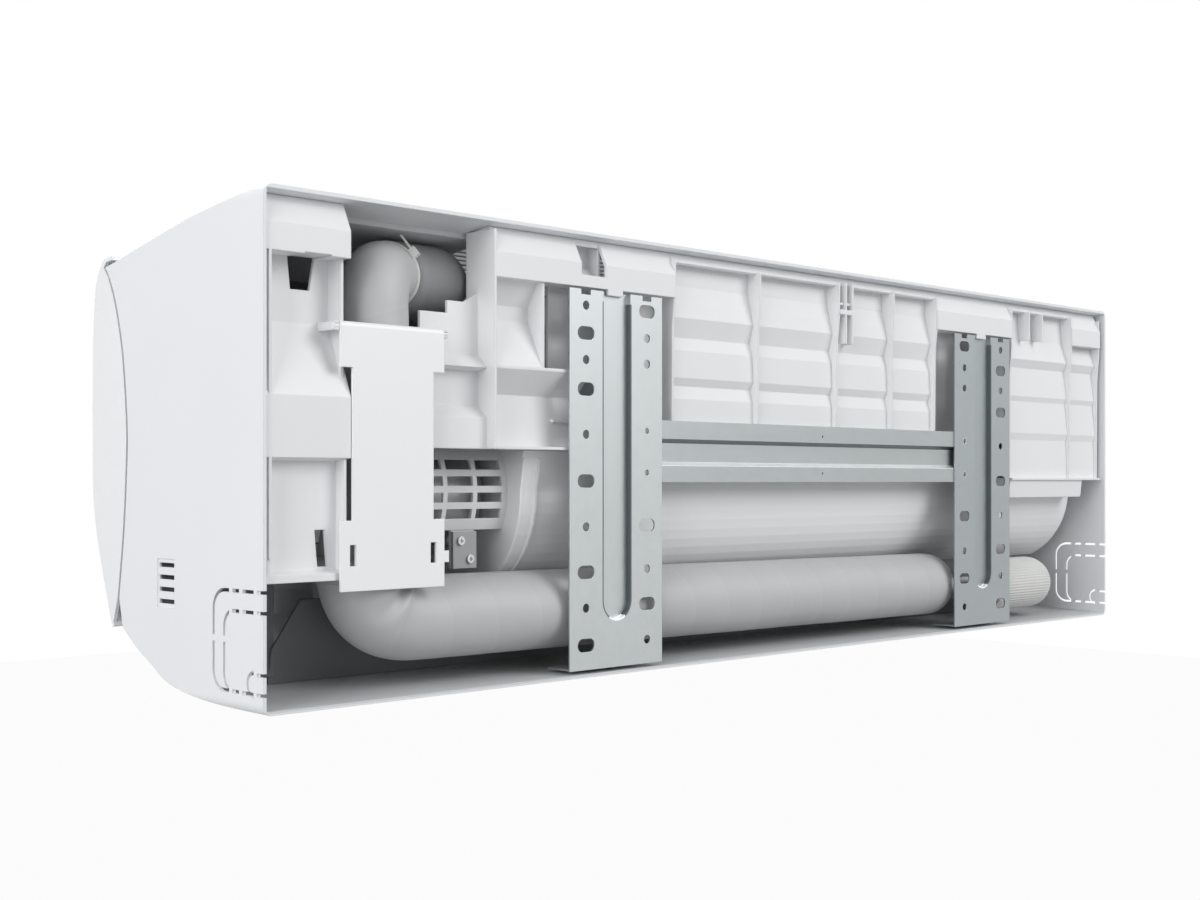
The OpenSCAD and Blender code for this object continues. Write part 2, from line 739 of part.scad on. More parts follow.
module left_pockets() {
    x0 = end_x - pocket_in;
    x1 = end_x - partition_in;
    // Two pockets between the partition and the plate, with a lip hook between them
    along_x(x0 + recess_w, x1) polygon(ribbon([[pocket_depth / 2, rail_z], [pocket_depth, rail_z - rail_face],
        [pocket_depth, pocket_split + 2 * rail_face], [rail_d + rib_t, pocket_split + rib_t]], wall_t));
    along_x(x0 - hook_w, x1) polygon(ribbon([[rail_d + rib_t, pocket_split],
        [pocket_depth, pocket_split - rail_face], [pocket_depth - rib_t, partition_foot + rib_t]], wall_t));
    for (z = [pocket_split, partition_foot])
        block([x0 - hook_w, x1], [rail_d + rib_t, behind_plate_d], [z, z + rib_t]);
    block([x0 + recess_w, x0 + recess_w + rib_t], [rail_d + rib_t, behind_plate_d], [pocket_split, rail_z]);
    // Partition beside the pipes and the stepped wall that closes in the heat exchanger
    block([x1, x1 + rib_t], [rail_d, partition_d], [partition_foot, under_top(partition_d)]);
    reach = end_x - leg_in - leg_d / 2 - x1;
    steps = [for (share = step_shares) x1 + reach * share];
    along_x(x1, steps[2]) {
        polygon([[pocket_depth, pocket_split + hook_drop], [pocket_depth / 2, pocket_split],
            [pocket_depth, pocket_split - rib_t]]);
        polygon([[pocket_depth, pocket_split - 3 * hook_drop],
            [pocket_depth / 2, pocket_split - 4 * hook_drop],
            [pocket_depth / 2, partition_foot], [pocket_depth, partition_foot]]);
    }
    towards_room(pocket_depth, pocket_depth + wall_t) polygon([
        [x1, partition_foot], [steps[2], partition_foot],
        [steps[2], rail_z - 2 * rail_face + hook_drop], [steps[1], rail_z - 2 * rail_face + hook_drop],
        [steps[1], rail_z - rail_face], [steps[0], rail_z - rail_face], [x1, rail_z - hook_drop]]);
    retainer_lug(retainer_x[0] - retainer_pin_len, pocket_depth);
}
module behind_plate(x0, x1) {
    block([x0, x1], [behind_plate_d, behind_plate_d + wall_t], [cell_foot, rail_z + wall_t]);
    block([x0, x1], [scroll_top_d, behind_plate_d + wall_t], [cell_foot, cell_foot + rib_t]);
}
module rear_chassis() color("white") seated() {
    left = end_x - partition_in;
    difference() {
        union() {
            rail(cell_x[0], left);
            rail(low_in[1] - end_x, cell_x[len(cell_x) - 1]);
            middle_cells();
            low_cells();
            left_pockets();
            behind_plate(cell_x[0] - rib_t, end_x - pocket_in);
            behind_plate(low_in[1] - end_x - rib_t, cell_x[len(cell_x) - 1] + rib_t);
            // Flanks that close the sides of the cells behind the wall plate
            for (x = [cell_x[0], cell_x[len(cell_x) - 1], low_in[1] - end_x - rib_t / 2])
                block([x - rib_t / 2, x + rib_t / 2], [cell_depth / 2, behind_plate_d + wall_t],
                    [cell_foot, cell_top]);
            // Shut pocket behind the notch in the rail, with a sloping floor
            notch = [end_x - notch_in[1], end_x - notch_in[0]];
            block([notch[0] - rib_t, notch[1] + rib_t], [behind_plate_d, behind_plate_d + wall_t],
                [rail_z, under_top(behind_plate_d + wall_t)]);
            for (x = [notch[0] - rib_t, notch[1]])
                block([x, x + rib_t], [rail_d + rail_lean, behind_plate_d],
                    [rail_z, under_top(behind_plate_d)]);
            along_x(notch[0], notch[1]) polygon([[rail_d + wall_t, rail_z], [behind_plate_d, rail_z],
                [behind_plate_d, rail_z + 2 * hook_drop], [rail_d + wall_t, rail_z + wall_t]]);
            // Tongues that drop into the grooves of the wall plate
            for (x = bracket_x) block([x - groove_w / 4, x + groove_w / 4], [rail_d, rail_d + rib_t],
                [rail_z - hook_drop / 2, rail_z + wall_t]);
        }
        // Notch in the rail beside the left bracket
        block([end_x - notch_in[1], end_x - notch_in[0]], [-overrun, rail_d + rail_lean],
            [rail_z + hook_drop, unit_h]);
    }
}

// Column at the right-hand end, beside the pipe channel
module end_column() color("white") seated() {
    x0 = end_x - column_in;
    x1 = inner_x - free_gap;
    path = [[column_pocket_d, rail_z + wall_t], [column_pocket_d, column_bend_z],
        [rail_d, column_face_z[0]], [rail_d, column_face_z[1]], [column_lower_d, column_face_z[1] - rib_t],
        [column_lower_d, column_pocket_foot], [rail_d + rib_t, column_pocket_foot - rib_t],
        [rail_d + rib_t, column_foot]];
    difference() {
        union() {
            rail(x0, x1);
            along_x(x0, x1) polygon(ribbon(path, wall_t));
            block([x0 + rib_t, x0 + 2 * rib_t], [2 * retainer_pin_d + free_gap, column_pocket_d],
                [column_face_z[0], rail_z]);
            block([x1 - 2 * rib_t, x1 - rib_t], [rail_d, column_pocket_d], [column_face_z[0], rail_z]);
            for (x = [x0 + rib_t, x1 - 2 * rib_t]) {
                block([x, x + rib_t], [rail_d + rib_t, column_lower_d], [column_foot, column_face_z[1]]);
            }
            block([x1 - 2 * rib_t, x1 - rib_t], [rail_d, side_plate_d], [column_foot + cell_depth, rail_z]);
        }
        towards_room(0, 2 * column_pocket_d) polygon([
            [end_x - column_slot_in[0], column_slot_z[1]], [end_x - column_slot_in[1], column_slot_z[1]],
            [end_x - column_slot_in[1] + knock_bridge, column_slot_z[0]],
            [end_x - column_slot_in[0] - rib_t, column_slot_z[0]]]);
        towards_room(0, 2 * column_pocket_d) polygon([
            [end_x - column_low_slot_in[0], column_low_slot_z[1]],
            [end_x - column_low_slot_in[1], column_low_slot_z[1]],
            [end_x - column_low_slot_in[1] - rib_t, column_low_slot_z[0]],
            [end_x - column_low_slot_in[0] - rib_t, column_low_slot_z[0]]]);
    }
    // Lug for one end of the retainer's hinge
    retainer_lug(retainer_x[1] + free_gap, column_pocket_d);
}
module retainer_lug(x, reach) difference() {
    z = retainer_top - retainer_pin_drop;
    block([x, x + retainer_pin_len - free_gap], [rail_d, reach],
        [z - 3 / 2 * retainer_pin_r, z + 3 / 2 * retainer_pin_r]);
    rod_x(x - overrun, x + retainer_pin_len, retainer_pin_d, z, retainer_pin_r + running_gap, tiny_fn);
}

// Curved wall behind the fan, with a cheek at each end of the air path
module fan_hole(r) translate([fan_axis_d, fan_axis_z]) circle(r, $fn = round_fn);
module fan_scroll() color("white") seated() {
    end_z = scroll_path[len(scroll_path) - 1][1];
    cheek = concat(scroll_path, [[nose_d(end_z) - 2 * seat_gap, end_z],
        [nose_bend[0] - seat_gap, pan_z - seat_gap], [nose_bend[0] - seat_gap, nose_bend[1]],
        [nose[0] - seat_gap, nose[1]], [nose[0] - seat_gap, cell_foot]]);
    wall = ribbon(scroll_path, wall_t);
    rib = ribbon([for (i = [1 : len(scroll_path) - 1]) scroll_path[i]], -scroll_rib);
    difference() {
        union() {
            along_x(air_x[0] - wall_t, air_x[1] + wall_t) polygon(wall);
            along_x(air_x[1], air_x[1] + wall_t) polygon(cheek);
            along_x(air_x[0] - wall_t, air_x[0]) polygon(cheek);
            for (x = [air_x[1], air_x[1] - scroll_rib_in]) along_x(x, x + wall_t) polygon(rib);
            block([air_x[0] - wall_t, air_x[0] + rest_w], rest_d, rest_z);
            block([air_x[1] - rest_w, air_x[1] + wall_t], rest_d, rest_z);
        }
        along_x(air_x[1] - overrun, air_x[1] + 2 * wall_t) fan_hole(hub_r + free_gap);
        along_x(air_x[0] - 2 * wall_t, air_x[0] + overrun) fan_hole(bearing_r + holder_t + running_gap);
        block([-end_x, low_in[1] - end_x + seat_gap], [-overrun, low_shelf_d + seat_gap],
            [low_box_foot - seat_gap, unit_h]);
        block([end_x - pocket_in - hook_w - seat_gap, end_x], [-overrun, behind_plate_d + wall_t + seat_gap],
            [partition_foot - seat_gap, unit_h]);
    }
}

// Dark moulding that leads the air out below the fan and closes the back above the floor
hose_points = [for (p = hose_path) [pan_x[1] + p[0], -p[1], p[2]]];
skirt_x = end_x - duct_skirt_in;
module outlet_duct() color("dimgray") seated() {
    top = scroll_path[len(scroll_path) - 1] - [0, seat_gap];
    back = [duct_back, above_floor(duct_back)];
    lip_foot = [duct_lip[0] - seat_gap, above_floor(duct_lip[0])];
    span = outlet_span[1] - seat_gap - duct_back;
    floor_line = [for (i = [0 : louvre_steps])
        let (d = duct_back + span * i / louvre_steps) [d, above_floor(d)]];
    cheek = concat([top], floor_line, [nose_foot - [seat_gap, 0],
        [nose_d(top[1]) - 2 * seat_gap, top[1]]]);
    difference() {
        union() {
            along_x(air_x[0] - wall_t, air_x[1] + wall_t)
                polygon([top, back, lip_foot, duct_lip, duct_top, [duct_top[0], top[1]]]);
            difference() {
                along_x(air_x[1], skirt_x) polygon(ribbon([top, back], wall_t));
                towards_room(0, duct_lip[0]) polygon([[skirt_x + overrun, unit_h],
                    [skirt_x + overrun, skirt_foot_z], [skirt_x, skirt_foot_z],
                    [skirt_x - skirt_slant, top[1]], [skirt_x - skirt_slant, unit_h]]);
            }
            along_x(air_x[0] - wall_t, air_x[0]) polygon(cheek);
            along_x(air_x[1], air_x[1] + wall_t) polygon(cheek);
            translate([0, 0, facet_z]) linear_extrude(column_foot - seat_gap - facet_z) mirror([0, 1, 0])
                polygon(ribbon([for (f = duct_facet) [end_x - f[0], f[1]]], wall_t));
        }
        along_x(-end_x, end_x) polygon(ribbon(front_path, shell_t + seat_gap));
        rod_x(air_x[0] - 2 * wall_t, air_x[1] + 2 * wall_t, louvre_axis[0], louvre_axis[1],
            louvre_pin + running_gap);
        rod_d(duct_top[0] - 2 * hose_r, duct_top[0] + 2 * hose_r, hose_points[3][0], hose_points[3][2],
            hose_r + 2 * free_gap, small_fn);
        on_duct() for (x = concat(bank_x(0), bank_x(1)))
            translate([x, -vane_pivot_s, -vane_pin_len - seat_gap])
                cylinder(h = 2 * vane_pin_len, r = vane_pin_r + running_gap, $fn = tiny_fn);
    }
}

// Trough under the front fin block, joined to the nose over the fan
pan_front = front_d - shell_t - seat_gap;
spout_z = pan_z - spout_r;
module drain_pan() color("gainsboro") seated() difference() {
    union() {
        along_x(pan_x[0], pan_x[1]) polygon([
            [nose_bend[0], pan_z], [pan_front, pan_z], [pan_front, pan_wall_top],
            [pan_front - wall_t, pan_wall_top], [pan_front - wall_t, pan_z + wall_t],
            [nose_bend[0] + wall_t, pan_z + wall_t], [nose_bend[0] + wall_t, nose_bend[1]],
            [nose_bend[0], nose_bend[1]]]);
        along_x(air_x[0] - wall_t, air_x[1] + wall_t) polygon(ribbon([nose, nose_bend, nose_foot], wall_t));
        for (x = [pan_x[0], pan_x[1] - wall_t])
            block([x, x + wall_t], [nose_bend[0], pan_front], [pan_z, pan_wall_top]);
        for (x = [coil_x[0], coil_x[1] - foot_rest_w])
            block([x, x + foot_rest_w], foot_rest, [pan_z, front_coil_z[0] - seat_gap]);
        block([pan_x[1] - 2 * spout_len, pan_x[1]],
            [nose_foot[0] - spout_r - wall_t, nose_foot[0] + spout_r + wall_t],
            [spout_z - spout_r - wall_t, pan_z]);
        block([pan_x[0], pan_x[0] + 2 * spout_r], [nose_foot[0] - spout_r, nose_foot[0] + spout_r],
            [spout_z - spout_r, pan_z]);
    }
    rod_x(pan_x[1] - spout_len, pan_x[1] + overrun, nose_foot[0], spout_z, spout_r);
    translate([pan_x[1] - spout_len, -nose_foot[0], spout_z])
        cylinder(h = 3 * spout_r, r = spout_r / 2, $fn = small_fn);
    rod_x(pan_x[0] - overrun, pan_x[0] + spout_r, nose_foot[0], spout_z,
        spout_r - wall_t + running_gap, tiny_fn);
}
module drain_plug() color("dimgray") seated() {
    rod_x(pan_x[0] - wall_t, pan_x[0], nose_foot[0], spout_z, spout_r, small_fn);
    rod_x(pan_x[0] - overrun, pan_x[0] + spout_r - seat_gap, nose_foot[0], spout_z,
        spout_r - wall_t, tiny_fn);
}
module drain_hose() color("lightgray") seated() difference() {
    pipe_run(hose_points, hose_r);
    wrap_body(seat_gap);
    block([0, pan_x[1]], [0, unit_depth], [0, unit_h]);
}

// Motor with its slotted cover and clip
motor_x1 = motor_x + motor_len;
module fan_motor() color("silver") seated() difference() {
    union() {
        rod_x(motor_x, motor_x1, fan_axis_d, fan_axis_z, motor_d / 2, round_fn);
        rod_x(motor_x - motor_boss, motor_x1 + motor_boss, fan_axis_d, fan_axis_z, motor_boss_r, small_fn);
    }
    rod_x(motor_x - 2 * motor_boss, motor_x + shaft_reach, fan_axis_d, fan_axis_z, shaft_r + running_gap);
}
module arc_wall(x0, x1, r, t, angles) along_x(x0, x1) intersection() {
    difference() {
        fan_hole(r);
        fan_hole(r - t);
    }
    polygon(concat([[fan_axis_d, fan_axis_z]], [for (i = [0 : 3])
        let (a = angles[0] + (angles[1] - angles[0]) * i / 3)
        [fan_axis_d + 2 * r * cos(a), fan_axis_z + 2 * r * sin(a)]]));
}
clip_x = [end_x - clip_in[1], end_x - clip_in[0]];
clip_at = [for (s = clip_screws) [clip_x[0] + (clip_x[1] - clip_x[0]) * s[0],
    clip_z[0] + (clip_z[1] - clip_z[0]) * s[1]]];
module motor_cover() color("gainsboro") seated() {
    x0 = end_x - cover_in[0];
    x1 = end_x - cover_in[1];
    inner_r = cover_r - wall_t / 2;
    difference() {
        union() {
            arc_wall(x0, x1, cover_r, wall_t, cover_angles);
            for (c = cradle_in) arc_wall(end_x - c, end_x - c + wall_t, inner_r,
                inner_r - motor_d / 2 - free_gap, cover_angles);
            block(clip_x, [clip_d[1], clip_d[1] + wall_t], [clip_z[0], clip_lug_z]);
            for (p = clip_at) rod_d(clip_d[1], clip_d[1] + screw_len, p[0], p[1], screw_boss_r);
        }
        for (sx = cover_slot_x, sz = cover_slot_rows)
            block([x0 + sx, x0 + sx + cover_slot_w], [0, fan_axis_d - motor_d / 2],
                [fan_axis_z + sz - cover_slot_h / 2, fan_axis_z + sz + cover_slot_h / 2]);
        for (p = clip_at) rod_d(clip_d[0], clip_d[0] + screw_len, p[0], p[1], screw_r + running_gap);
    }
}
module motor_clip() color("gainsboro") seated() difference() {
    block(clip_x, clip_d, clip_z);
    for (p = clip_at) rod_d(clip_d[0] - overrun, clip_d[1] + overrun, p[0], p[1], screw_r + running_gap);
}

// Fan wheel, a long cage of curved blades between rings
function blade(i) = let (
    root = fan_r * fan_root_share,
    tip = fan_r - blade_inset,
    path = [for (k = [0 : blade_steps]) let (share = k / blade_steps, r = root + (tip - root) * share,
        a = i * 360 / fan_blades + blade_lean * pow(share, 2))
        [fan_axis_d + r * cos(a), fan_axis_z + r * sin(a)]])
    ribbon(path, blade_t);
module fan_wheel() color("lightgray") seated() {
    pitch = (fan_x[1] - fan_x[0] - fan_disc_t) / fan_sections;
    along_x(fan_x[0] + fan_disc_t / 2, fan_x[1] - fan_disc_t / 2)
        for (i = [0 : fan_blades - 1]) polygon(blade(i));
    for (x = [for (k = [1 : fan_sections - 1]) fan_x[0] + k * pitch])
        along_x(x, x + fan_disc_t) difference() {
        fan_hole(fan_r);
        fan_hole(fan_r * fan_root_share - fan_disc_t);
    }
    along_x(fan_x[0], fan_x[0] + fan_disc_t) difference() {
        fan_hole(fan_r);
        fan_hole(shaft_r + running_gap);
    }
    along_x(fan_x[0], fan_x[0] + hub_len) difference() {
        fan_hole(bearing_r);
        fan_hole(shaft_r + running_gap);
    }
    along_x(fan_x[1] - fan_disc_t, fan_x[1]) difference() {
        fan_hole(fan_r);
        fan_hole(hub_r);
    }
    along_x(fan_x[1] - hub_len, fan_x[1]) difference() {
        fan_hole(hub_r + fan_disc_t);
        fan_hole(hub_r);
    }
}
module fan_hub() color("dimgray") seated() along_x(fan_x[1] - hub_len, fan_x[1]) difference() {
    fan_hole(hub_r - running_gap);
    fan_hole(shaft_r + running_gap);
}
module fan_shaft() color("silver") seated() {
    rod_x(fan_x[0] - shaft_grip / 2, fan_x[0] + shaft_grip / 2, fan_axis_d, fan_axis_z, shaft_r);
    rod_x(fan_x[1] - hub_len, motor_x + shaft_reach - motor_boss, fan_axis_d, fan_axis_z, shaft_r);
}
module fan_bearing() color("goldenrod") seated() difference() {
    rod_x(air_x[0] - bearing_len + wall_t, air_x[0] + wall_t, fan_axis_d, fan_axis_z,
        bearing_r - running_gap);
    rod_x(air_x[0] - 2 * bearing_len, air_x[0] + 2 * bearing_len, fan_axis_d, fan_axis_z,
        shaft_r + running_gap);
}
module bearing_holder() color("dimgray") seated() difference() {
    rod_x(air_x[0] - bearing_len + wall_t, air_x[0] + wall_t, fan_axis_d, fan_axis_z, bearing_r + holder_t);
    rod_x(air_x[0] - 2 * bearing_len, air_x[0] + 2 * bearing_len, fan_axis_d, fan_axis_z, bearing_r);
}

// Louvre that closes the outlet, and the stepping motor on its axis
louvre_x = [air_x[0] + louvre_end_gap, air_x[1] - louvre_end_gap];
module louvre() color("white") seated() {
    span = louvre_span[1] - louvre_span[0];
    along_x(louvre_x[0], louvre_x[1]) polygon(ribbon([for (i = [0 : louvre_steps])
        let (d = louvre_span[0] + span * i / louvre_steps) [d, skin_bottom(d) + louvre_lift]], louvre_t));
    for (x = [louvre_x[0], louvre_x[1] - louvre_arm_t]) along_x(x, x + louvre_arm_t) {
        polygon([[louvre_arm_span[0], skin_bottom(louvre_arm_span[0]) + louvre_t / 2], [louvre_arm_span[1],
            skin_bottom(louvre_arm_span[1]) + louvre_t / 2], [louvre_axis[0] + louvre_arm_r, louvre_axis[1]],
            [louvre_axis[0] - louvre_arm_r, louvre_axis[1]]]);
        translate(louvre_axis) circle(louvre_arm_r, $fn = small_fn);
    }
    rod_x(louvre_x[0] - louvre_end_gap - wall_t, louvre_x[0] + louvre_arm_t,
        louvre_axis[0], louvre_axis[1], louvre_pin);
    rod_x(louvre_x[1] - louvre_arm_t, air_x[1] + wall_t + pin_grip,
        louvre_axis[0], louvre_axis[1], louvre_pin);
}
module louvre_motor() color("silver") seated() {
    x0 = air_x[1] + wall_t + seat_gap;
    centre = louvre_axis + stepper_off;
    difference() {
        union() {
            rod_x(x0, x0 + stepper_len, centre[0], centre[1], stepper_r);
            along_x(x0, x0 + stepper_flange) {
                for (side = [-1, 1]) translate(centre + [side * (stepper_r + stepper_ear), 0])
                    circle(stepper_ear, $fn = tiny_fn);
                translate(centre - [stepper_r + stepper_ear, stepper_ear])
                    square([2 * (stepper_r + stepper_ear), 2 * stepper_ear]);
            }
            block([x0 + stepper_socket[0], x0 + stepper_socket[1]],
                [centre[0] - stepper_r / 2, centre[0] + stepper_r / 2],
                [centre[1], centre[1] + stepper_r + stepper_ear]);
        }
        rod_x(x0 - overrun, x0 + pin_grip + overrun, louvre_axis[0], louvre_axis[1],
            louvre_pin + running_gap);
    }
}

// Vanes that steer the air left and right, and the bar that links each bank
function bank_x(bank) = [for (i = [0 : vane_count - 1]) bank_in[bank] - end_x + vane_pitch * i];
module vane(bank, i) color("white") seated() on_duct() {
    x = bank_x(bank)[i];
    difference() {
        along_x(x - vane_t / 2, x + vane_t / 2) polygon([[vane_s[0], vane_n[0]], [vane_s[1], vane_n[0]],
            [vane_s[1], vane_n[1]], [vane_cut[0], vane_n[1]], [vane_s[0], vane_cut[1]]]);
        block([x - vane_t, x + vane_t], [link_notch_s, vane_s[1] + overrun], link_notch_n);
    }
    translate([x, -link_s, link_notch_n[0] - overrun])
        cylinder(h = link_notch_n[1] - link_notch_n[0] + 2 * overrun, r = link_pin_r, $fn = tiny_fn);
    translate([x, -vane_pivot_s, -vane_pin_len])
        cylinder(h = vane_pin_len + 2 * vane_n[0], r = vane_pin_r, $fn = tiny_fn);
}
module link_bar(bank) color("gainsboro") seated() on_duct() difference() {
    ends = bank_x(bank);
    block([ends[0] - link_end, ends[vane_count - 1] + link_end],
        [link_s - link_half, link_s + link_half], link_n);
    for (x = ends) translate([x, -link_s, link_n[0] - overrun])
        cylinder(h = link_n[1] - link_n[0] + 2 * overrun, r = link_pin_r + running_gap, $fn = tiny_fn);
}
module vane_l1() vane(0, 0);
module vane_l2() vane(0, 1);
module vane_l3() vane(0, 2);
module vane_l4() vane(0, 3);
module vane_l5() vane(0, 4);
module link_left() link_bar(0);
module vane_r1() vane(1, 0);
module vane_r2() vane(1, 1);
module vane_r3() vane(1, 2);
module vane_r4() vane(1, 3);
module vane_r5() vane(1, 4);
module link_right() link_bar(1);

// Heat exchanger: three fin blocks, end sheets and return bends
function slab(line, t, over = 0) = let (along = unit_vec(line[1] - line[0]), across = left_of(along) * t / 2)
    [line[0] - along * over + across, line[1] + along * over + across, line[1] + along * over - across,
    line[0] - along * over - across];
front_line = [[front_coil_d, front_coil_z[1]], [front_coil_d, front_coil_z[0]]];
module front_coil() color("silver") seated() along_x(coil_x[0], coil_x[1]) polygon(slab(front_line, coil_t));
module upper_coil() color("silver") seated() along_x(coil_x[0], coil_x[1]) polygon(slab(upper_line, coil_t));
module rear_coil() color("silver") seated() along_x(coil_x[0], coil_x[1]) polygon(slab(rear_line, coil_t));
coil_lines = [front_line, upper_line, rear_line];
module tube_sheets() color("lightsteelblue") seated() for (x = [coil_x[0] - sheet_t, coil_x[1]])
    along_x(x, x + sheet_t) for (line = coil_lines) polygon(slab(line, coil_t, sheet_over));
module return_bends() color("peru") seated() for (line = coil_lines, row = bend_rows, side = [0, 1]) {
    at = line[0] + (line[1] - line[0]) * row;
    along = unit_vec(line[1] - line[0]);
    translate([side == 0 ? coil_x[0] - sheet_t : coil_x[1] + sheet_t, -at[0], at[1]])
        rotate([atan2(along[0], along[1]), 0, 0]) rotate([0, 0, side == 0 ? 180 : 0]) rotate([90, 0, 0])
            rotate([0, 0, -90]) rotate_extrude(angle = 180, $fn = small_fn) translate([bend_r, 0])
                circle(tube_d / 2, $fn = tiny_fn);
}

// Air filter: a framed net that slides up out of the top
module filter(span) color("gray") seated() {
    top = skin_top(filter_d[1]) - overrun;
    cell_w = (span[1] - span[0] - 2 * filter_rim + filter_bar) / filter_columns;
    cell_h = (top - filter_foot - 2 * filter_rim + filter_bar) / filter_rows;
    difference() {
        block(span, filter_d, [filter_foot, top]);
        for (i = [0 : filter_columns - 1], j = [0 : filter_rows - 1], side = [0, 1]) {
            x = span[0] + filter_rim + i * cell_w;
            z = filter_foot + filter_rim + j * cell_h;
            depth = (filter_t - net_t) / 2;
            d = side == 0 ? filter_d[0] - overrun : filter_d[1] - depth;
            block([x, x + cell_w - filter_bar], [d, d + depth + overrun], [z, z + cell_h - filter_bar]);
        }
    }
}
module filter_left() filter(filter_l);
module filter_right() filter(filter_r);

// Galvanised wall plate: two brackets and a cross bar, riveted together
module slot_2d(x, z) {
    half = (slot_w - slot_h) / 2;
    for (side = [-1, 1]) translate([x + side * half, z]) circle(slot_h / 2, $fn = small_fn);
    translate([x - half, z - slot_h / 2]) square([2 * half, slot_h]);
}
module groove_2d(x, r) {
    foot = plate_z + groove_foot + groove_w / 2;
    translate([x, foot]) circle(r, $fn = small_fn);
    translate([x - r, foot]) square([2 * r, plate_z + plate_h - foot]);
}
function plate_level(share) = plate_z + plate_h * share;
module strip_holes(x, hole_shares, slot_shares) {
    for (share = hole_shares) translate([x, plate_level(share)]) circle(screw_hole_d / 2, $fn = small_fn);
    for (share = slot_shares) slot_2d(x, plate_level(share));
    translate([x - notch_w / 2, plate_level(1) - notch_h]) square([notch_w, 2 * notch_h]);
}
module bracket(i) color("lightgray") seated() {
    x = bracket_x[i];
    outer = i == 0 ? strip_off : -strip_off;
    difference() {
        union() {
            towards_room(0, sheet_t) translate([x - bracket_w / 2, plate_z]) square([bracket_w, plate_h]);
            towards_room(0, groove_depth + sheet_t) groove_2d(x, groove_w / 2);
            block([x - bracket_w / 2 + foot_tab_in[0], x + bracket_w / 2 - foot_tab_in[1]], [0, foot_tab],
                [plate_z, plate_z + sheet_t]);
        }
        towards_room(-overrun, groove_depth) groove_2d(x, groove_w / 2 - sheet_t);
        towards_room(-overrun, groove_depth)
            translate([x - groove_w / 2 + sheet_t, plate_z + plate_h - overrun])
                square([groove_w - 2 * sheet_t, 2 * overrun]);
        towards_room(-overrun, sheet_t + overrun) {
            strip_holes(x + outer, outer_hole_shares, outer_slot_shares);
            strip_holes(x - outer, inner_hole_shares, inner_slot_shares);
        }
        for (share = rivet_shares)
            rod_d(-overrun, sheet_t + overrun, x - outer, plate_level(share), rivet_r + running_gap);
    }
}
module right_bracket() bracket(0);
module left_bracket() bracket(1);
module cross_bar() color("lightgray") seated() {
    x0 = bracket_x[1] + bracket_w / 2 - bar_lap;
    x1 = bracket_x[0] - bracket_w / 2 + bar_lap;
    profile = [for (i = [0 : len(bar_step_shares) - 1])
        [i == 2 || i == 3 ? sheet_t + bar_step : sheet_t, bar_z + bar_h * bar_step_shares[i]]];
    difference() {
        along_x(x0, x1) polygon(ribbon(profile, sheet_t));
        for (share = rivet_shares) {
            for (x = [bracket_x[0] - strip_off, bracket_x[1] + strip_off])
                rod_d(0, groove_depth, x, plate_level(share), rivet_r + running_gap);
            rod_d(0, groove_depth, plate_x, plate_level(share), bar_mark_r);
        }
    }
}
module plate_rivets() color("silver") seated() for (x = [bracket_x[0] - strip_off, bracket_x[1] + strip_off],
        share = rivet_shares) difference() {
    union() {
        rod_d(0, 2 * sheet_t, x, plate_level(share), rivet_r);
        rod_d(2 * sheet_t, 2 * sheet_t + rivet_head_t, x, plate_level(share), rivet_head_r);
    }
    rod_d(-overrun, 2 * sheet_t, x, plate_level(share), rivet_hole_r);
}

// Plate that keeps the pipes in their channel, hinged at its top, with slots for its latches
module pipe_retainer() color("white") seated() {
    neck = [retainer_x[0] + retainer_neck, retainer_x[1] - retainer_neck];
    pin_z = retainer_top - retainer_pin_drop;
    difference() {
        union() {
            block(neck, [0, retainer_t], [retainer_z, pin_z]);
            block(retainer_x, [0, retainer_t], [pin_z - retainer_ear[0], pin_z]);
            block(retainer_x, [0, retainer_t], [retainer_z, retainer_z + retainer_ear[1]]);
            block([retainer_x[0] - retainer_catch, retainer_x[0]], [0, retainer_t],
                [retainer_slot_z, retainer_slot_z + 2 * retainer_catch]);
            rod_x(retainer_x[0], retainer_x[1], retainer_pin_d, pin_z, retainer_pin_d);
            rod_x(retainer_x[0] - retainer_pin_len, retainer_x[1] + retainer_pin_len, retainer_pin_d, pin_z,
                retainer_pin_r, tiny_fn);
        }
        for (x = [neck[0] - retainer_slot[0] / 2, neck[1] - retainer_slot[0] / 2])
            block([x, x + retainer_slot[0]], [-overrun, retainer_t + overrun],
                [retainer_slot_z, retainer_slot_z + retainer_slot[1]]);
    }
}

// Wrapped pipes: down the channel, round the elbow and along the back
leg_x = end_x - leg_in;
wrap_y = -wrap_centre_d;
leg_top = [leg_x, -leg_centre_d, leg_top_z];
leg_bend = [leg_x, -leg_centre_d, leg_bend_z];
knee = [end_x - leg_foot_in, wrap_y, elbow_z];
elbow_foot = [knee[0] - elbow_r, wrap_y, elbow_z - elbow_r];
wrap_tip = [end_x - wrap_end_in + wrap_d / 2, wrap_y, elbow_z - elbow_r - wrap_fall];
bundle_a = [end_x - bundle_in[0], -bundle_centre[0], bundle_centre[1]];
bundle_b = [end_x - bundle_in[1], -bundle_centre[0], bundle_centre[1]];
neck_foot = leg_top + unit_vec(bundle_b - leg_top) * neck_len;
module wrap_body(grow = 0) {
    r = wrap_d / 2 + grow;
    leg_r = leg_d / 2 + grow;
    ball(leg_top, leg_r);
    limb(leg_top, neck_foot, neck_r + grow, neck_r + grow);
    limb(leg_bend, leg_top, leg_r, leg_r);
    ball(leg_bend, leg_r);
    limb(leg_bend, knee, leg_r, r);
    ball(knee, r);
    translate([elbow_foot[0], wrap_y, elbow_z]) rotate([90, 0, 0]) rotate([0, 0, -90])
        rotate_extrude(angle = 90, $fn = small_fn) translate([elbow_r, 0]) circle(r, $fn = small_fn);
    ball(elbow_foot, r);
    limb(elbow_foot, wrap_tip, r, r);
    ball(wrap_tip, r);
}
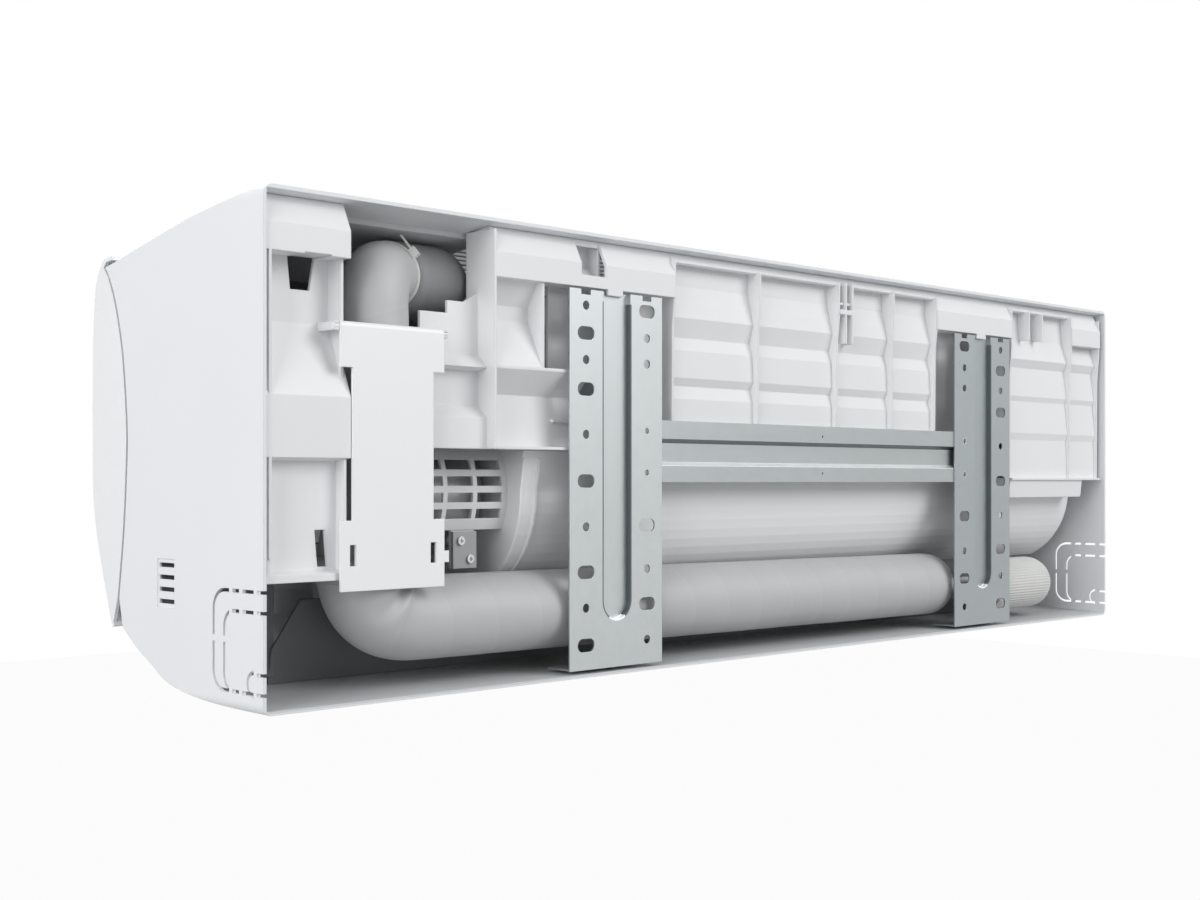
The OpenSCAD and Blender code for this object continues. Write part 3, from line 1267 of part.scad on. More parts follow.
joint_d = [wrap_centre_d + gas_off[0], wrap_centre_d + liquid_off[0]];
joint_z = [sleeve_z + gas_off[1], sleeve_z + liquid_off[1]];
joint_r = [gas_pipe_d / 2, liquid_pipe_d / 2];
joint_x0 = end_x - wrap_end_in + joint_grip;
module joint_rods(grow) for (i = [0, 1])
    rod_x(end_x - joint_end_in, joint_x0 + grow, joint_d[i], joint_z[i], joint_r[i] + grow);
module line_set_wrap() color("silver") seated() difference() {
    wrap_body();
    joint_rods(running_gap);
}
module joint_pipes() color("peru") seated() joint_rods(0);
module flare_nuts() color("goldenrod") seated() for (i = [0, 1]) {
    x = end_x - nut_in[i];
    flats = [gas_nut_af, liquid_nut_af][i];
    difference() {
        rod_x(x - nut_len / 2, x + nut_len / 2, joint_d[i], joint_z[i], flats / sqrt(3), 6);
        rod_x(x - nut_len, x + nut_len, joint_d[i], joint_z[i], joint_r[i] + running_gap);
    }
}
sleeve_x = [end_x - sleeve_in[1], end_x - sleeve_in[0]];
module sleeve_shell(r) {
    dome_x = sleeve_x[0] + sleeve_dome;
    rod_x(dome_x, sleeve_x[1], wrap_centre_d, sleeve_z, r);
    ball([dome_x, wrap_y, sleeve_z], r);
}
module joint_sleeve() color("oldlace") seated() {
    rim = [for (i = [0 : 2 * sleeve_pleats - 1]) let (a = 180 * i / sleeve_pleats,
        r = sleeve_d / 2 - (i % 2) * sleeve_pleat) [wrap_centre_d + r * cos(a), sleeve_z + r * sin(a)]];
    hollow_r = sleeve_d / 2 - sleeve_pleat - sleeve_wall;
    difference() {
        intersection() {
            along_x(sleeve_x[0] - overrun, sleeve_x[1]) polygon(rim);
            sleeve_shell(sleeve_d / 2 + seat_gap);
        }
        difference() {
            sleeve_shell(hollow_r);
            block([sleeve_x[1] - collar_t, sleeve_x[1] + overrun], [0, unit_depth], [0, unit_h]);
        }
        joint_rods(running_gap);
    }
}

// Insulated pipes that turn in to the heat exchanger, and the copper pipes that leave them
function inner_points(path) = [for (p = path) [end_x - p[0], -p[1], p[2]]];
gas_points = inner_points(gas_path);
liquid_points = inner_points(liquid_path);
module inner_bundle() color("gray") seated() difference() {
    union() {
        limb(bundle_a, bundle_b, bundle_d / 2, bundle_d / 2);
        ball(bundle_a, bundle_d / 2);
        ball(bundle_b, bundle_d / 2);
    }
    facing(leg_top, bundle_b) translate([0, 0, -unit_depth])
        cylinder(h = unit_depth + neck_len + seat_gap, r = bundle_d, $fn = small_fn);
    pipe_run(gas_points, gas_pipe_d / 2 + running_gap);
    pipe_run(liquid_points, liquid_pipe_d / 2 + running_gap);
}
module coil_pipes() color("peru") seated() {
    pipe_run(gas_points, gas_pipe_d / 2);
    pipe_run(liquid_points, liquid_pipe_d / 2);
}
module cable_tie() color("white") seated() facing(leg_top, bundle_b) {
    r = neck_r + running_gap;
    translate([0, 0, tie_at]) difference() {
        cylinder(h = tie_w, r = r + tie_t, $fn = round_fn);
        translate([0, 0, -overrun]) cylinder(h = tie_w + 2 * overrun, r = r, $fn = round_fn);
    }
    rotate([0, 0, -90 - tie_head_angle]) {
        translate([r + tie_t / 2, -tie_head[1] / 2, tie_at + (tie_w - tie_head[2]) / 2])
            cube([tie_head[0], tie_head[1], tie_head[2]]);
        translate([r + 2 * tie_t, -tie_head[1] / 2 - tie_tail, tie_at])
            cube([tie_t, tie_tail + overrun, tie_w]);
    }
}

// Control box with its lid, board and terminal block
box_x = [end_x - box_in[1], end_x - box_in[0]];
module box_corners(inset) for (x = [box_x[0] + inset, box_x[1] - inset])
    for (z = [box_z[0] + inset, box_z[1] - inset]) translate([x, 0, z]) children();
module control_box() color("gainsboro") seated() difference() {
    boss_in = box_t / 2 + screw_boss_r;
    union() {
        difference() {
            block(box_x, box_d, box_z);
            block([box_x[0] + box_t, box_x[1] - box_t], [box_d[0] + box_t, box_d[1] + overrun],
                [box_z[0] + box_t, box_z[1] - box_t]);
        }
        box_corners(boss_in) rod_d(box_d[0], box_d[1], 0, 0, screw_boss_r);
        box_corners(board_in + screw_boss_r)
            rod_d(box_d[0], box_d[0] + box_t + board_off, 0, 0, screw_boss_r);
    }
    box_corners(boss_in) rod_d(box_d[1] - screw_len, box_d[1] + overrun, 0, 0, screw_r + running_gap);
    block([box_x[0] - overrun, box_x[0] + 2 * box_t], [box_slot_d[0], box_slot_d[1]], box_slot_z);
}
module control_lid() color("gainsboro") seated() difference() {
    block(box_x, [box_d[1], box_d[1] + box_t], box_z);
    box_corners(box_t / 2 + screw_boss_r)
        rod_d(box_d[1] - overrun, box_d[1] + 2 * box_t, 0, 0, screw_r + running_gap);
}
module control_board() color("darkgreen") seated() {
    d0 = box_d[0] + box_t + board_off;
    d1 = d0 + board_t;
    x = [box_x[0] + board_in, box_x[1] - board_in];
    z = [box_z[0] + board_in, box_z[1] - board_in];
    block(x, [d0, d1], z);
    for (p = board_blocks) {
        px = x[0] + (x[1] - x[0]) * p[0];
        pz = z[0] + (z[1] - z[0]) * p[1];
        block([px, px + p[2]], [d1, d1 + p[4]], [pz, pz + p[3]]);
    }
    for (p = board_cans) rod_d(d1, d1 + p[3], x[0] + (x[1] - x[0]) * p[0], z[0] + (z[1] - z[0]) * p[1], p[2]);
}
module terminal_block() color("whitesmoke") seated() {
    x0 = box_x[0] + block_in;
    d1 = box_d[1] - box_t;
    z0 = box_z[0] + box_t;
    pitch = block_size[0] / block_ways;
    difference() {
        block([x0, x0 + block_size[0]], [d1 - block_size[1], d1], [z0, z0 + block_size[2]]);
        for (i = [0 : block_ways - 1]) {
            rod_d(d1 - block_size[1] / 2, d1 + overrun, x0 + pitch * (i + 1 / 2), z0 + block_size[2] / 2,
                pitch / 3);
            block([x0 + pitch * i + box_t / 2, x0 + pitch * (i + 1) - box_t / 2],
                [d1 - block_size[1] / 4, d1 + overrun], [z0 - overrun, z0 + block_size[2] / 4]);
        }
    }
}

// Display board behind the panel, its button and switch, and the pipe sensor
display_front = display_back + board_t;
button_x = end_x - button_in;
module display_board() color("darkgreen") seated() {
    block([end_x - display_in[1], end_x - display_in[0]], [display_back, display_front], display_z);
    for (i = [0 : lamp_count - 1]) rod_d(display_back, display_front + lamp_h,
        end_x - display_in[1] + lamp_in + lamp_pitch * i, (display_z[0] + display_z[1]) / 2, lamp_r);
}
module button() color("white") seated() {
    cap_d = front_d + button_travel + button_slack;
    rod_d(display_front + switch_h + button_slack + button_travel, cap_d, button_x, button_z, button_r,
        small_fn);
    rod_d(cap_d, cap_d + button_cap_t, button_x, button_z, button_cap_r, small_fn);
}
module button_switch() color("dimgray") seated() block([button_x - switch_w / 2, button_x + switch_w / 2],
    [display_front, display_front + switch_h], [button_z - switch_w / 2, button_z + switch_w / 2]);
module room_sensor() color("peru") seated() rod_x(coil_x[1] + sheet_t, coil_x[1] + sheet_t + sensor_len,
    front_coil_d + coil_t / 2 - sensor_r, sensor_z, sensor_r, tiny_fn);

// Screws of the motor clip and of the lid, each with a cross in its head
module screw() difference() {
    union() {
        rod_d(-screw_head_t, 0, 0, 0, screw_head_r, small_fn);
        rod_d(0, screw_len - seat_gap, 0, 0, screw_r);
    }
    for (turn = [0, 90]) rotate([0, turn, 0]) translate([-screw_head_r / 2, 0, -screw_cross / 2])
        cube([screw_head_r, screw_head_t + overrun, screw_cross]);
}
module screws() color("silver") seated() {
    for (p = clip_at) translate([p[0], -clip_d[0], p[1]]) screw();
    box_corners(box_t / 2 + screw_boss_r) translate([0, -box_d[1] - box_t, 0]) rotate([180, 0, 0]) screw();
}

front_casing();
front_panel();
intake_grille();
rear_chassis();
fan_scroll();
end_column();
outlet_duct();
drain_pan();
drain_plug();
drain_hose();
motor_cover();
motor_clip();
left_bracket();
right_bracket();
cross_bar();
plate_rivets();
pipe_retainer();
line_set_wrap();
inner_bundle();
cable_tie();
coil_pipes();
joint_pipes();
flare_nuts();
joint_sleeve();
front_coil();
upper_coil();
rear_coil();
tube_sheets();
return_bends();
filter_left();
filter_right();
fan_wheel();
fan_hub();
fan_shaft();
fan_bearing();
bearing_holder();
fan_motor();
louvre();
louvre_motor();
vane_l1();
vane_l2();
vane_l3();
vane_l4();
vane_l5();
link_left();
vane_r1();
vane_r2();
vane_r3();
vane_r4();
vane_r5();
link_right();
control_box();
control_lid();
control_board();
terminal_block();
display_board();
button();
button_switch();
room_sensor();
screws();
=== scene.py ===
from math import atan2, pi

import bpy
import numpy as np
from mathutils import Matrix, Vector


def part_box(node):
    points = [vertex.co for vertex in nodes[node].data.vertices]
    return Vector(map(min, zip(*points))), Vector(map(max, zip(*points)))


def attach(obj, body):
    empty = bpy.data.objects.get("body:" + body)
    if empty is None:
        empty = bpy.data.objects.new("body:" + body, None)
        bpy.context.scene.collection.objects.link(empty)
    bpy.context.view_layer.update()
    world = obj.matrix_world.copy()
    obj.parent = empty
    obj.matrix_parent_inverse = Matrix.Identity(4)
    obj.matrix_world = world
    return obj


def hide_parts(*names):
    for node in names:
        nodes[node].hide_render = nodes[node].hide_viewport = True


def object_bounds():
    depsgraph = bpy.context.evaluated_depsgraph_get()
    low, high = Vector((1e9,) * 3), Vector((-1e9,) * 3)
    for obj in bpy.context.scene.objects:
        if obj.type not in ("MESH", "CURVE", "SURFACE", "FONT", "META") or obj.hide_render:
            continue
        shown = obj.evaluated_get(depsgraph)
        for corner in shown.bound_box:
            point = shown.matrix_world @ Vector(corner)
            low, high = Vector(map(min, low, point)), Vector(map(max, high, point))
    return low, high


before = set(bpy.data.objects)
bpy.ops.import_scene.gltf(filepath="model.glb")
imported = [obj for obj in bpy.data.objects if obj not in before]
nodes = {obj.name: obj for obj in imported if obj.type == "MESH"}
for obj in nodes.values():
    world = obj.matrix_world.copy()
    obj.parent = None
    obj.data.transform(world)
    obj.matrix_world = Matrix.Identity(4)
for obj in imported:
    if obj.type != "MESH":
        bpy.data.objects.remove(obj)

# Looks of the indoor unit of a split air conditioner, hung on its steel wall plate.
# X runs along the unit, the wall is at Y = 0 with the room towards -Y, and Z is up.
cad_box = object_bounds()
low, high = (np.array(corner) for corner in cad_box)
scene = bpy.context.scene
scene.view_settings.view_transform = "Standard"


# View from behind
# The unit is seen from the wall side, off its right-hand end, with the camera level and so close
# that the far end looks little more than half as high as the near one.
camera_place = (1.1117, 0.849, -0.0182)
camera_facing = (-0.7013, -0.7129)
lens = bpy.data.cameras.new("rear_view")
lens.lens = 47.2
lens.sensor_width = 36.0
lens.shift_y = 0.0258
lens.clip_end = 40.0
camera = bpy.data.objects.new("rear_view", lens)
scene.collection.objects.link(camera)
camera.location = camera_place
camera.rotation_euler = (pi / 2, 0.0, atan2(-camera_facing[0], camera_facing[1]))
scene.camera = camera


# Lamps
# The main lamp stands high on the wall side, off the unit's far end, so shadows fall down and
# towards the near end. Two weaker lamps light the near end and the front.
# Each row gives a lamp's place, its width and its power.
lamp_table = {
    "wall_side_lamp": ((-1.4, 2.9, 1.8), 2.2, 72.0),
    "end_side_lamp": ((3.1, 0.6, 0.9), 2.2, 60.0),
    "room_side_lamp": ((-0.6, -3.4, 1.6), 2.6, 44.0),
}
middle = (low + high) / 2
for lamp_name, (place, size, watts) in lamp_table.items():
    lamp_data = bpy.data.lights.new(lamp_name, "AREA")
    lamp_data.size = size
    lamp_data.energy = watts
    lamp = bpy.data.objects.new(lamp_name, lamp_data)
    scene.collection.objects.link(lamp)
    lamp.location = place
    towards = np.array(place) - middle
    level_run = np.hypot(towards[0], towards[1])
    lamp.rotation_euler = (atan2(level_run, towards[2]), 0.0, atan2(towards[0], -towards[1]))


# Front casing
# The outer shell, moulded in cool white with a fine matt grain, open at the wall side. Vents and
# pipe knock-outs are cut through its ends. The floor inside carries painted shade, darker further in.
class Term:
    """A value that varies over a surface, so that sums of it read as plain expressions."""

    def __init__(self, tree, socket):
        self.tree, self.socket = tree, socket

    def _sum(self, kind, first, second):
        return self.tree.add("Math", {"operation": kind}, {0: first, 1: second})

    def __add__(self, other):
        return self._sum("ADD", self, other)

    def __radd__(self, other):
        return self._sum("ADD", other, self)

    def __sub__(self, other):
        return self._sum("SUBTRACT", self, other)

    def __rsub__(self, other):
        return self._sum("SUBTRACT", other, self)

    def __mul__(self, other):
        return self._sum("MULTIPLY", self, other)

    def __rmul__(self, other):
        return self._sum("MULTIPLY", other, self)

    def __truediv__(self, other):
        return self._sum("DIVIDE", self, other)

    def __gt__(self, other):
        return self._sum("GREATER_THAN", self, other)

    def __lt__(self, other):
        return self._sum("LESS_THAN", self, other)

    def within(self, start, end):
        """1 where the value lies between two others, and 0 elsewhere."""
        return (self > start) * (self < end)

    def share(self):
        """What is left of the value above its whole number."""
        return self.tree.add("Math", {"operation": "FRACT"}, {0: self})


class Tree:
    """The nodes of one material, or of the sky."""

    def __init__(self, tree):
        self.nodes, self.links = tree.nodes, tree.links

    def add(self, kind, settings, sockets, output=0):
        """A node of any kind, with its settings made first, then its sockets set or joined."""
        node = self.nodes.new("ShaderNode" + kind)
        for key, value in settings.items():
            setattr(node, key, value)
        for key, value in sockets.items():
            self.join(node.inputs[key], value)
        return Term(self, node.outputs[output])

    def join(self, socket, value):
        """Gives a socket a fixed value, or one that varies."""
        if isinstance(value, Term):
            self.links.new(value.socket, socket)
        else:
            socket.default_value = value


class Finish(Tree):
    """One material: a Principled shader and the nodes that feed it."""

    def __init__(self, name, colour, roughness, metallic=0.0):
        self.material = bpy.data.materials.new(name)
        self.material.use_nodes = True
        self.material.diffuse_color = (*colour, 1.0)
        super().__init__(self.material.node_tree)
        self.shader = self.nodes["Principled BSDF"]
        self.feed(**{"Base Color": (*colour, 1.0), "Roughness": roughness, "Metallic": metallic})

    def feed(self, **values):
        """Joins values to the shader's sockets of these names."""
        for key, value in values.items():
            self.join(self.shader.inputs[key], value)

    def place(self):
        """Where a point lies on the object, in metres."""
        return self.add("TexCoord", {}, {}, "Object")

    def along(self, axis):
        """The x, y or z of a point on the object."""
        return self.add("SeparateXYZ", {}, {0: self.place()}, axis)

    def noise(self, scale, detail=2.0, stretch=(1.0, 1.0, 1.0)):
        """Soft noise from 0 to 1, drawn out along an axis where stretch is below 1."""
        spread = self.add("VectorMath", {"operation": "MULTIPLY"}, {0: self.place(), 1: stretch})
        return self.add("TexNoise", {}, {"Vector": spread, "Scale": scale, "Detail": detail})

    def cells(self, scale):
        """One chance value from 0 to 1 for each crystal or fleck."""
        colour = self.add("TexVoronoi", {}, {"Vector": self.place(), "Scale": scale}, "Color")
        return self.add("SeparateColor", {}, {0: colour})

    def blend(self, first, second, share):
        """From one colour to another by a share of 0 to 1."""
        first, second = ((*shade, 1.0) if isinstance(shade, tuple) else shade
                         for shade in (first, second))
        return self.add("Mix", {"data_type": "RGBA"}, {0: share, 6: first, 7: second}, 2)

    def relief(self, height, depth, strength=1.0, edge=0.0):
        """Raises the surface by height times depth metres, over edges eased by a small radius."""
        sockets = {"Height": height, "Distance": depth, "Strength": strength}
        if edge:
            sockets["Normal"] = self.add("Bevel", {"samples": 4}, {"Radius": edge})
        self.feed(Normal=self.add("Bump", {}, sockets))


def tinted(colour, level):
    """A colour made lighter or darker by one factor."""
    return tuple(part * level for part in colour)


def moulded(name, colour, roughness=0.42, grain=1500.0, depth=0.00002, drift=0.035, edge=0.0006):
    """Moulded plastic: its tone and gloss drift as the melt cooled, over a fine spark-eroded grain."""
    finish = Finish(name, colour, roughness)
    cooled = finish.noise(scale=9.0, detail=3.0)
    grained = finish.noise(scale=grain, detail=1.0)
    finish.shade = finish.blend(tinted(colour, 1 - drift), tinted(colour, 1 + drift / 3), cooled)
    finish.feed(**{
        "Base Color": finish.shade,
        "Roughness": roughness - 0.04 + 0.1 * cooled + 0.05 * grained,
    })
    finish.relief(grained, depth, edge=edge)
    return finish


def dress(finish, *names):
    """Gives every face of these nodes one finish."""
    for name in names:
        slots = nodes[name].data.materials
        if not slots:
            slots.append(finish.material)
        for index in range(len(slots)):
            slots[index] = finish.material


# Painted shade on the floor inside the shell: its colour darkens from the lip inwards, where the
# chassis above shades it.
painted_shade_inside = (0.50, 0.505, 0.515)
lip_shade_share, shade_share_per_metre = 0.45, 12.0
shell_skin, floor_rise, floor_reach, floor_end = 0.0012, 0.02, 0.11, 0.004
casing = moulded("casing_white", (0.82, 0.833, 0.851), roughness=0.46, grain=1400.0, depth=0.00003)
across, back, up = casing.along("X"), casing.along("Y"), casing.along("Z")
on_floor = up.within(low[2] + shell_skin, low[2] + floor_rise) * (back > -floor_reach)
on_floor = on_floor * across.within(low[0] + floor_end, high[0] - floor_end)
floor_shade_share = on_floor * (lip_shade_share - shade_share_per_metre * back)
casing.feed(**{"Base Color": casing.blend(casing.shade, painted_shade_inside, floor_shade_share)})
dress(casing, "front_casing")


# Front panel
# A satin moulding that covers the whole front. It swings up on pins at its top, so that the air
# filters can slide out.
dress(moulded("panel_satin", (0.84, 0.85, 0.865), roughness=0.24, grain=2400.0, depth=0.000006,
              drift=0.02), "front_panel")


# Intake grille
# Thin bars, moulded in one piece, over the opening in the top of the casing, where the room air is
# drawn in.
dress(moulded("grille_bars", (0.76, 0.77, 0.785), roughness=0.5), "intake_grille")


# Rear chassis, end column and fan scroll
# Ribbed white mouldings, unpainted, with a slightly waxy surface, that hang on the wall plate and
# carry the fan, the pipes and the heat exchanger. The scroll is the smooth curved wall behind the fan.
dress(moulded("chassis_white", (0.84, 0.845, 0.855), roughness=0.4, grain=1100.0, depth=0.000025,
              drift=0.025, edge=0.001), "rear_chassis", "end_column")
# The scroll's white is paler than the chassis's as painted light, lifting a part that lies in shade.
dress(moulded("scroll_white", (0.91, 0.912, 0.918), roughness=0.36, grain=1300.0, depth=0.00002,
              drift=0.02, edge=0.001), "fan_scroll")


# Outlet duct
# A dark grey moulding under the fan that leads the air out past the vanes. Its grain is coarser
# than the casing's, because hardly any of it shows.
dress(moulded("duct_grey", (0.165, 0.168, 0.174), roughness=0.5, grain=900.0, depth=0.00004,
              drift=0.1), "outlet_duct")


# Drain pan and plug
# A grey-white moulded trough under the front fins catches the water that runs off them. A rubber
# plug shuts its spare outlet.
dress(moulded("pan_white", (0.7, 0.71, 0.72), roughness=0.5, grain=700.0, depth=0.00005), "drain_pan")
dress(moulded("plug_rubber", (0.035, 0.035, 0.038), roughness=0.7, grain=500.0, depth=0.00008,
              drift=0.2), "drain_plug")


# Wrapped pipes
# Copper pipes, drain hose and wires bound together with grey vinyl tape. They turn out of the
# heat exchanger, come down the channel, bend under the fan motor and lie along the back.
def rounded_route(corners, radii, step=0.0015, curve_steps=25):
    """A line through corners, each eased by a curve (1-t)^2 A + 2t(1-t) C + t^2 B that starts and
    ends a radius from the corner, then spaced out evenly by distance."""
    corners = np.array(corners, float)
    share = np.linspace(0.0, 1.0, curve_steps)[:, None]
    pieces = [corners[:1]]
    for before, corner, after, radius in zip(corners, corners[1:], corners[2:], radii):
        start = corner + (before - corner) * radius / np.linalg.norm(before - corner)
        end = corner + (after - corner) * radius / np.linalg.norm(after - corner)
        pieces.append((1 - share) ** 2 * start + 2 * share * (1 - share) * corner + share ** 2 * end)
    pieces.append(corners[-1:])
    points = np.concatenate(pieces)
    gone = np.concatenate([[0.0], np.cumsum(np.linalg.norm(np.diff(points, axis=0), axis=1))])
    even = np.linspace(0.0, gone[-1], int(gone[-1] / step))
    return np.stack([np.interp(even, gone, points[:, axis]) for axis in range(3)], 1), even


def swept(name, points, lengths, radius, sides, level):
    """A tube round a route: ring i is points[i] + radius[i, j] (cos a side + sin a up), where a runs
    once round and side and up are square to the route. Quads join the rings and a face closes
    each end. The UV map holds the distance along and the share of a turn."""
    ahead = np.gradient(points, axis=0)
    ahead /= np.linalg.norm(ahead, axis=1)[:, None]
    side = np.cross(level, ahead)
    side /= np.linalg.norm(side, axis=1)[:, None]
    up = np.cross(ahead, side)
    angle = np.arange(sides) / sides * 2 * pi
    rings = points[:, None] + radius[..., None] * (
        np.cos(angle)[None, :, None] * side[:, None] + np.sin(angle)[None, :, None] * up[:, None])
    count = len(points)
    i, j = np.meshgrid(np.arange(count - 1), np.arange(sides), indexing="ij")
    k = (j + 1) % sides
    quads = np.stack([i * sides + j, i * sides + k, (i + 1) * sides + k, (i + 1) * sides + j], -1)
    ends = [list(range(sides))[::-1], list(range((count - 1) * sides, count * sides))]
    mesh = bpy.data.meshes.new(name)
    mesh.from_pydata(rings.reshape(-1, 3), [], quads.reshape(-1, 4).tolist() + ends)
    turn = np.stack([j, j + 1, j + 1, j], -1) / sides
    far = np.stack([lengths[i], lengths[i], lengths[i + 1], lengths[i + 1]], -1)
    flat = np.stack([far, turn], -1).reshape(-1, 2)
    shut = np.zeros((2 * sides, 2))
    layer = mesh.uv_layers.new(name="wound")
    layer.data.foreach_set("uv", np.concatenate([flat, shut]).ravel())
    mesh.polygons.foreach_set("use_smooth", np.ones(len(mesh.polygons), bool))
    piece = bpy.data.objects.new(name, mesh)
    scene.collection.objects.link(piece)
    return piece


def domed(points, lengths, radius, rings=14):
    """Adds a round end: rings R sin b further on, with a radius of R cos b, from just past the last
    ring to just short of the tip."""
    past_ring, short_of_tip = 0.12, 0.02
    b = np.linspace(past_ring, 0.5 * pi - short_of_tip, rings)
    end = points[-1] - points[-2]
    end /= np.linalg.norm(end)
    size = radius[-1]
    more = points[-1] + size * np.sin(b)[:, None] * end
    return (np.concatenate([points, more]), np.concatenate([lengths, lengths[-1] + size * b]),
            np.concatenate([radius, size * np.cos(b)]))


neck_end = (0.43727, -0.05238, 0.12608)
leg_top = (0.464, -0.033, 0.12675)
leg_bend = (0.464, -0.033, 0.00375)
knee = (0.473, -0.0363, -0.06925)
elbow_corner = (0.473, -0.0363, -0.11425)
wrap_end = (-0.207, -0.0363, -0.11975)
wrap_bends = [0.0265, 0.04, 0.02, 0.045]
neck_r, leg_r, wrap_r = 0.024, 0.025, 0.030
# Distance along the wrap, and its radius there
wrap_stations = [(0.02, neck_r), (0.06, leg_r), (0.15, leg_r), (0.235, wrap_r)]
wrap_sides = 72
tape_pitch, tape_step, lap_fall, edge_start = 0.042, 0.00012, 0.12, 0.95
slack_depth, slack_drift, slack_lobes = 0.00025, 1.7, 3
fold_depth, fold_width, fold_lean, fold_side = 0.006, 0.006, 0.4, 0.7

wrap_points, wrap_far = rounded_route([neck_end, leg_top, leg_bend, knee, elbow_corner, wrap_end],
                                      wrap_bends)
wrap_size = np.interp(wrap_far, *zip(*wrap_stations))
wrap_points, wrap_far, wrap_size = domed(wrap_points, wrap_far, wrap_size)
wrap_share = np.arange(wrap_sides)[None, :] / wrap_sides
wrap_turn = wrap_share * 2 * pi

# Each lap of tape climbs by one step and falls back over its last part. The laps also wander in and
# out a little, and at the elbow the wrap folds in on one side and swells beside the fold.
turns = wrap_far[:, None] / tape_pitch - wrap_share
lap = turns - np.floor(turns)
lap = np.minimum(lap, (1 - lap) / lap_fall * (1 - lap_fall))
slack = slack_depth * np.sin(slack_drift * turns) * np.sin(slack_lobes * wrap_turn)
elbow = wrap_far[np.argmin(np.linalg.norm(wrap_points - elbow_corner, axis=1))]
beyond = (wrap_far[:, None] - elbow) / fold_width
pinch = (fold_lean - beyond) * np.exp(-beyond ** 2) * np.clip(np.cos(wrap_turn - fold_side), 0.0, 1.0)
wrap_change = tape_step * (lap - 1) + slack - fold_depth * pinch
wrap_radius = wrap_size[:, None] * (1 + wrap_change / wrap_r)
wrapped_pipes = swept("wrapped_pipes", wrap_points, wrap_far, wrap_radius, wrap_sides,
                      level=(0.0, 1.0, 0.0))

tape = Finish("wrap_tape", (0.45, 0.455, 0.46), roughness=0.5)
wound = tape.add("UVMap", {"uv_map": "wound"}, {})
tape_along = tape.add("SeparateXYZ", {}, {0: wound}, 0)
tape_round = tape.add("SeparateXYZ", {}, {0: wound}, 1)
tape_lap = (tape_along / tape_pitch - tape_round).share()
tape_stain = tape.noise(scale=26.0, detail=3.0)
tape_crease = tape.noise(scale=160.0, detail=2.0, stretch=(0.3, 1.0, 1.0))
lap_edge = tape_lap > edge_start
tape.feed(**{
    "Base Color": tape.blend((0.49, 0.495, 0.50), (0.55, 0.555, 0.56),
                             0.2 * tape_lap + 0.7 * tape_stain + 0.1 * lap_edge),
    "Roughness": 0.42 + 0.16 * tape_stain,
})
tape.relief(tape_crease, depth=0.0004, strength=0.2)
wrapped_pipes.data.materials.append(tape.material)
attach(wrapped_pipes, "unit")
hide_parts("line_set_wrap")


# Inner pipes
# Pipes in dark closed-cell foam that run on to the heat exchanger, behind the nylon tie. The foam
# is a little slack, in three lobes that turn along it.
inner_start = (0.43711, -0.0525, 0.12607)
inner_bend = (0.424, -0.062, 0.12575)
inner_end = (0.391, -0.062, 0.12575)
inner_bend_r, inner_r = 0.014, 0.028
# Distance along the pipes, and the share of the full radius there
inner_stations = [(0.0, 0.86), (0.003, 0.97), (0.012, 1.0)]
inner_sides = 64
lobe_share, lobes, lobe_turn_per_metre = 0.012, 3, 60
inner_points, inner_far = rounded_route([inner_start, inner_bend, inner_end], [inner_bend_r],
                                        step=0.0012)
inner_size = inner_r * np.interp(inner_far, *zip(*inner_stations))
inner_points, inner_far, inner_size = domed(inner_points, inner_far, inner_size)
foam_turn = np.arange(inner_sides) / inner_sides * 2 * pi
foam_lobes = np.sin(lobes * foam_turn + lobe_turn_per_metre * inner_far[:, None])
foam_radius = inner_size[:, None] * (1 - lobe_share + lobe_share * foam_lobes)
inner_pipes = swept("foam_covered_pipes", inner_points, inner_far, foam_radius, inner_sides,
                    level=(0.0, 0.0, 1.0))
foam = Finish("grey_foam", (0.20, 0.203, 0.208), roughness=0.8)
foam_pores = foam.noise(scale=900.0, detail=2.0)
foam_rub = foam.noise(scale=30.0, detail=3.0)
foam.feed(**{
    "Base Color": foam.blend((0.25, 0.253, 0.258), (0.35, 0.353, 0.357),
                             0.6 * foam_rub + 0.4 * foam_pores),
    "Roughness": 0.7 + 0.2 * foam_pores,
})
foam.relief(foam_pores, depth=0.0003, strength=0.6)
inner_pipes.data.materials.append(foam.material)
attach(inner_pipes, "unit")
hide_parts("inner_bundle")


# Nylon tie
# A white ribbed tie, moulded in nylon, that is pulled tight round the tape where the pipes turn in.
# Its teeth grip in the head.
tooth_pitch = 0.0012
tie = Finish("tie_nylon", (0.86, 0.86, 0.84), roughness=0.35)
tie_teeth = (tie.along("Z") / tooth_pitch).share()
tie.feed(**{
    "Base Color": tie.blend((0.8, 0.8, 0.78), (0.88, 0.88, 0.86), tie_teeth),
    "Roughness": 0.3 + 0.15 * tie_teeth,
})
tie.relief(tie_teeth, depth=0.0002, strength=0.5)
dress(tie, "cable_tie")


# Joint sleeve
# Off-white insulating foam gathered in fine lengthwise pleats over the flared joints, tied shut
# in a round end. The pleats are |sin| of the turn, deeper and shallower by turns along the sleeve,
# and the open end is drawn in.
sleeve_box = [np.array(corner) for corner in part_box("joint_sleeve")]
sleeve_axis = (sleeve_box[0] + sleeve_box[1]) / 2
sleeve_r = (sleeve_box[1][2] - sleeve_box[0][2]) / 2
sleeve_pleats, sides_per_pleat, pleat_depth = 56, 6, 0.00045
sleeve_sides, sleeve_rings, sleeve_end_rings = sleeve_pleats * sides_per_pleat, 40, 26
drawn_share, drawn_reach = 0.06, 0.004
wander_share, wander_per_metre = 0.3, 70
sleeve_run = np.linspace(sleeve_box[1][0], sleeve_box[0][0] + sleeve_r, sleeve_rings)
sleeve_points = np.stack([sleeve_run, np.full(sleeve_rings, sleeve_axis[1]),
                          np.full(sleeve_rings, sleeve_axis[2])], 1)
sleeve_far = sleeve_run[0] - sleeve_run
sleeve_size = sleeve_r * (1 - drawn_share * np.exp(-sleeve_far / drawn_reach))
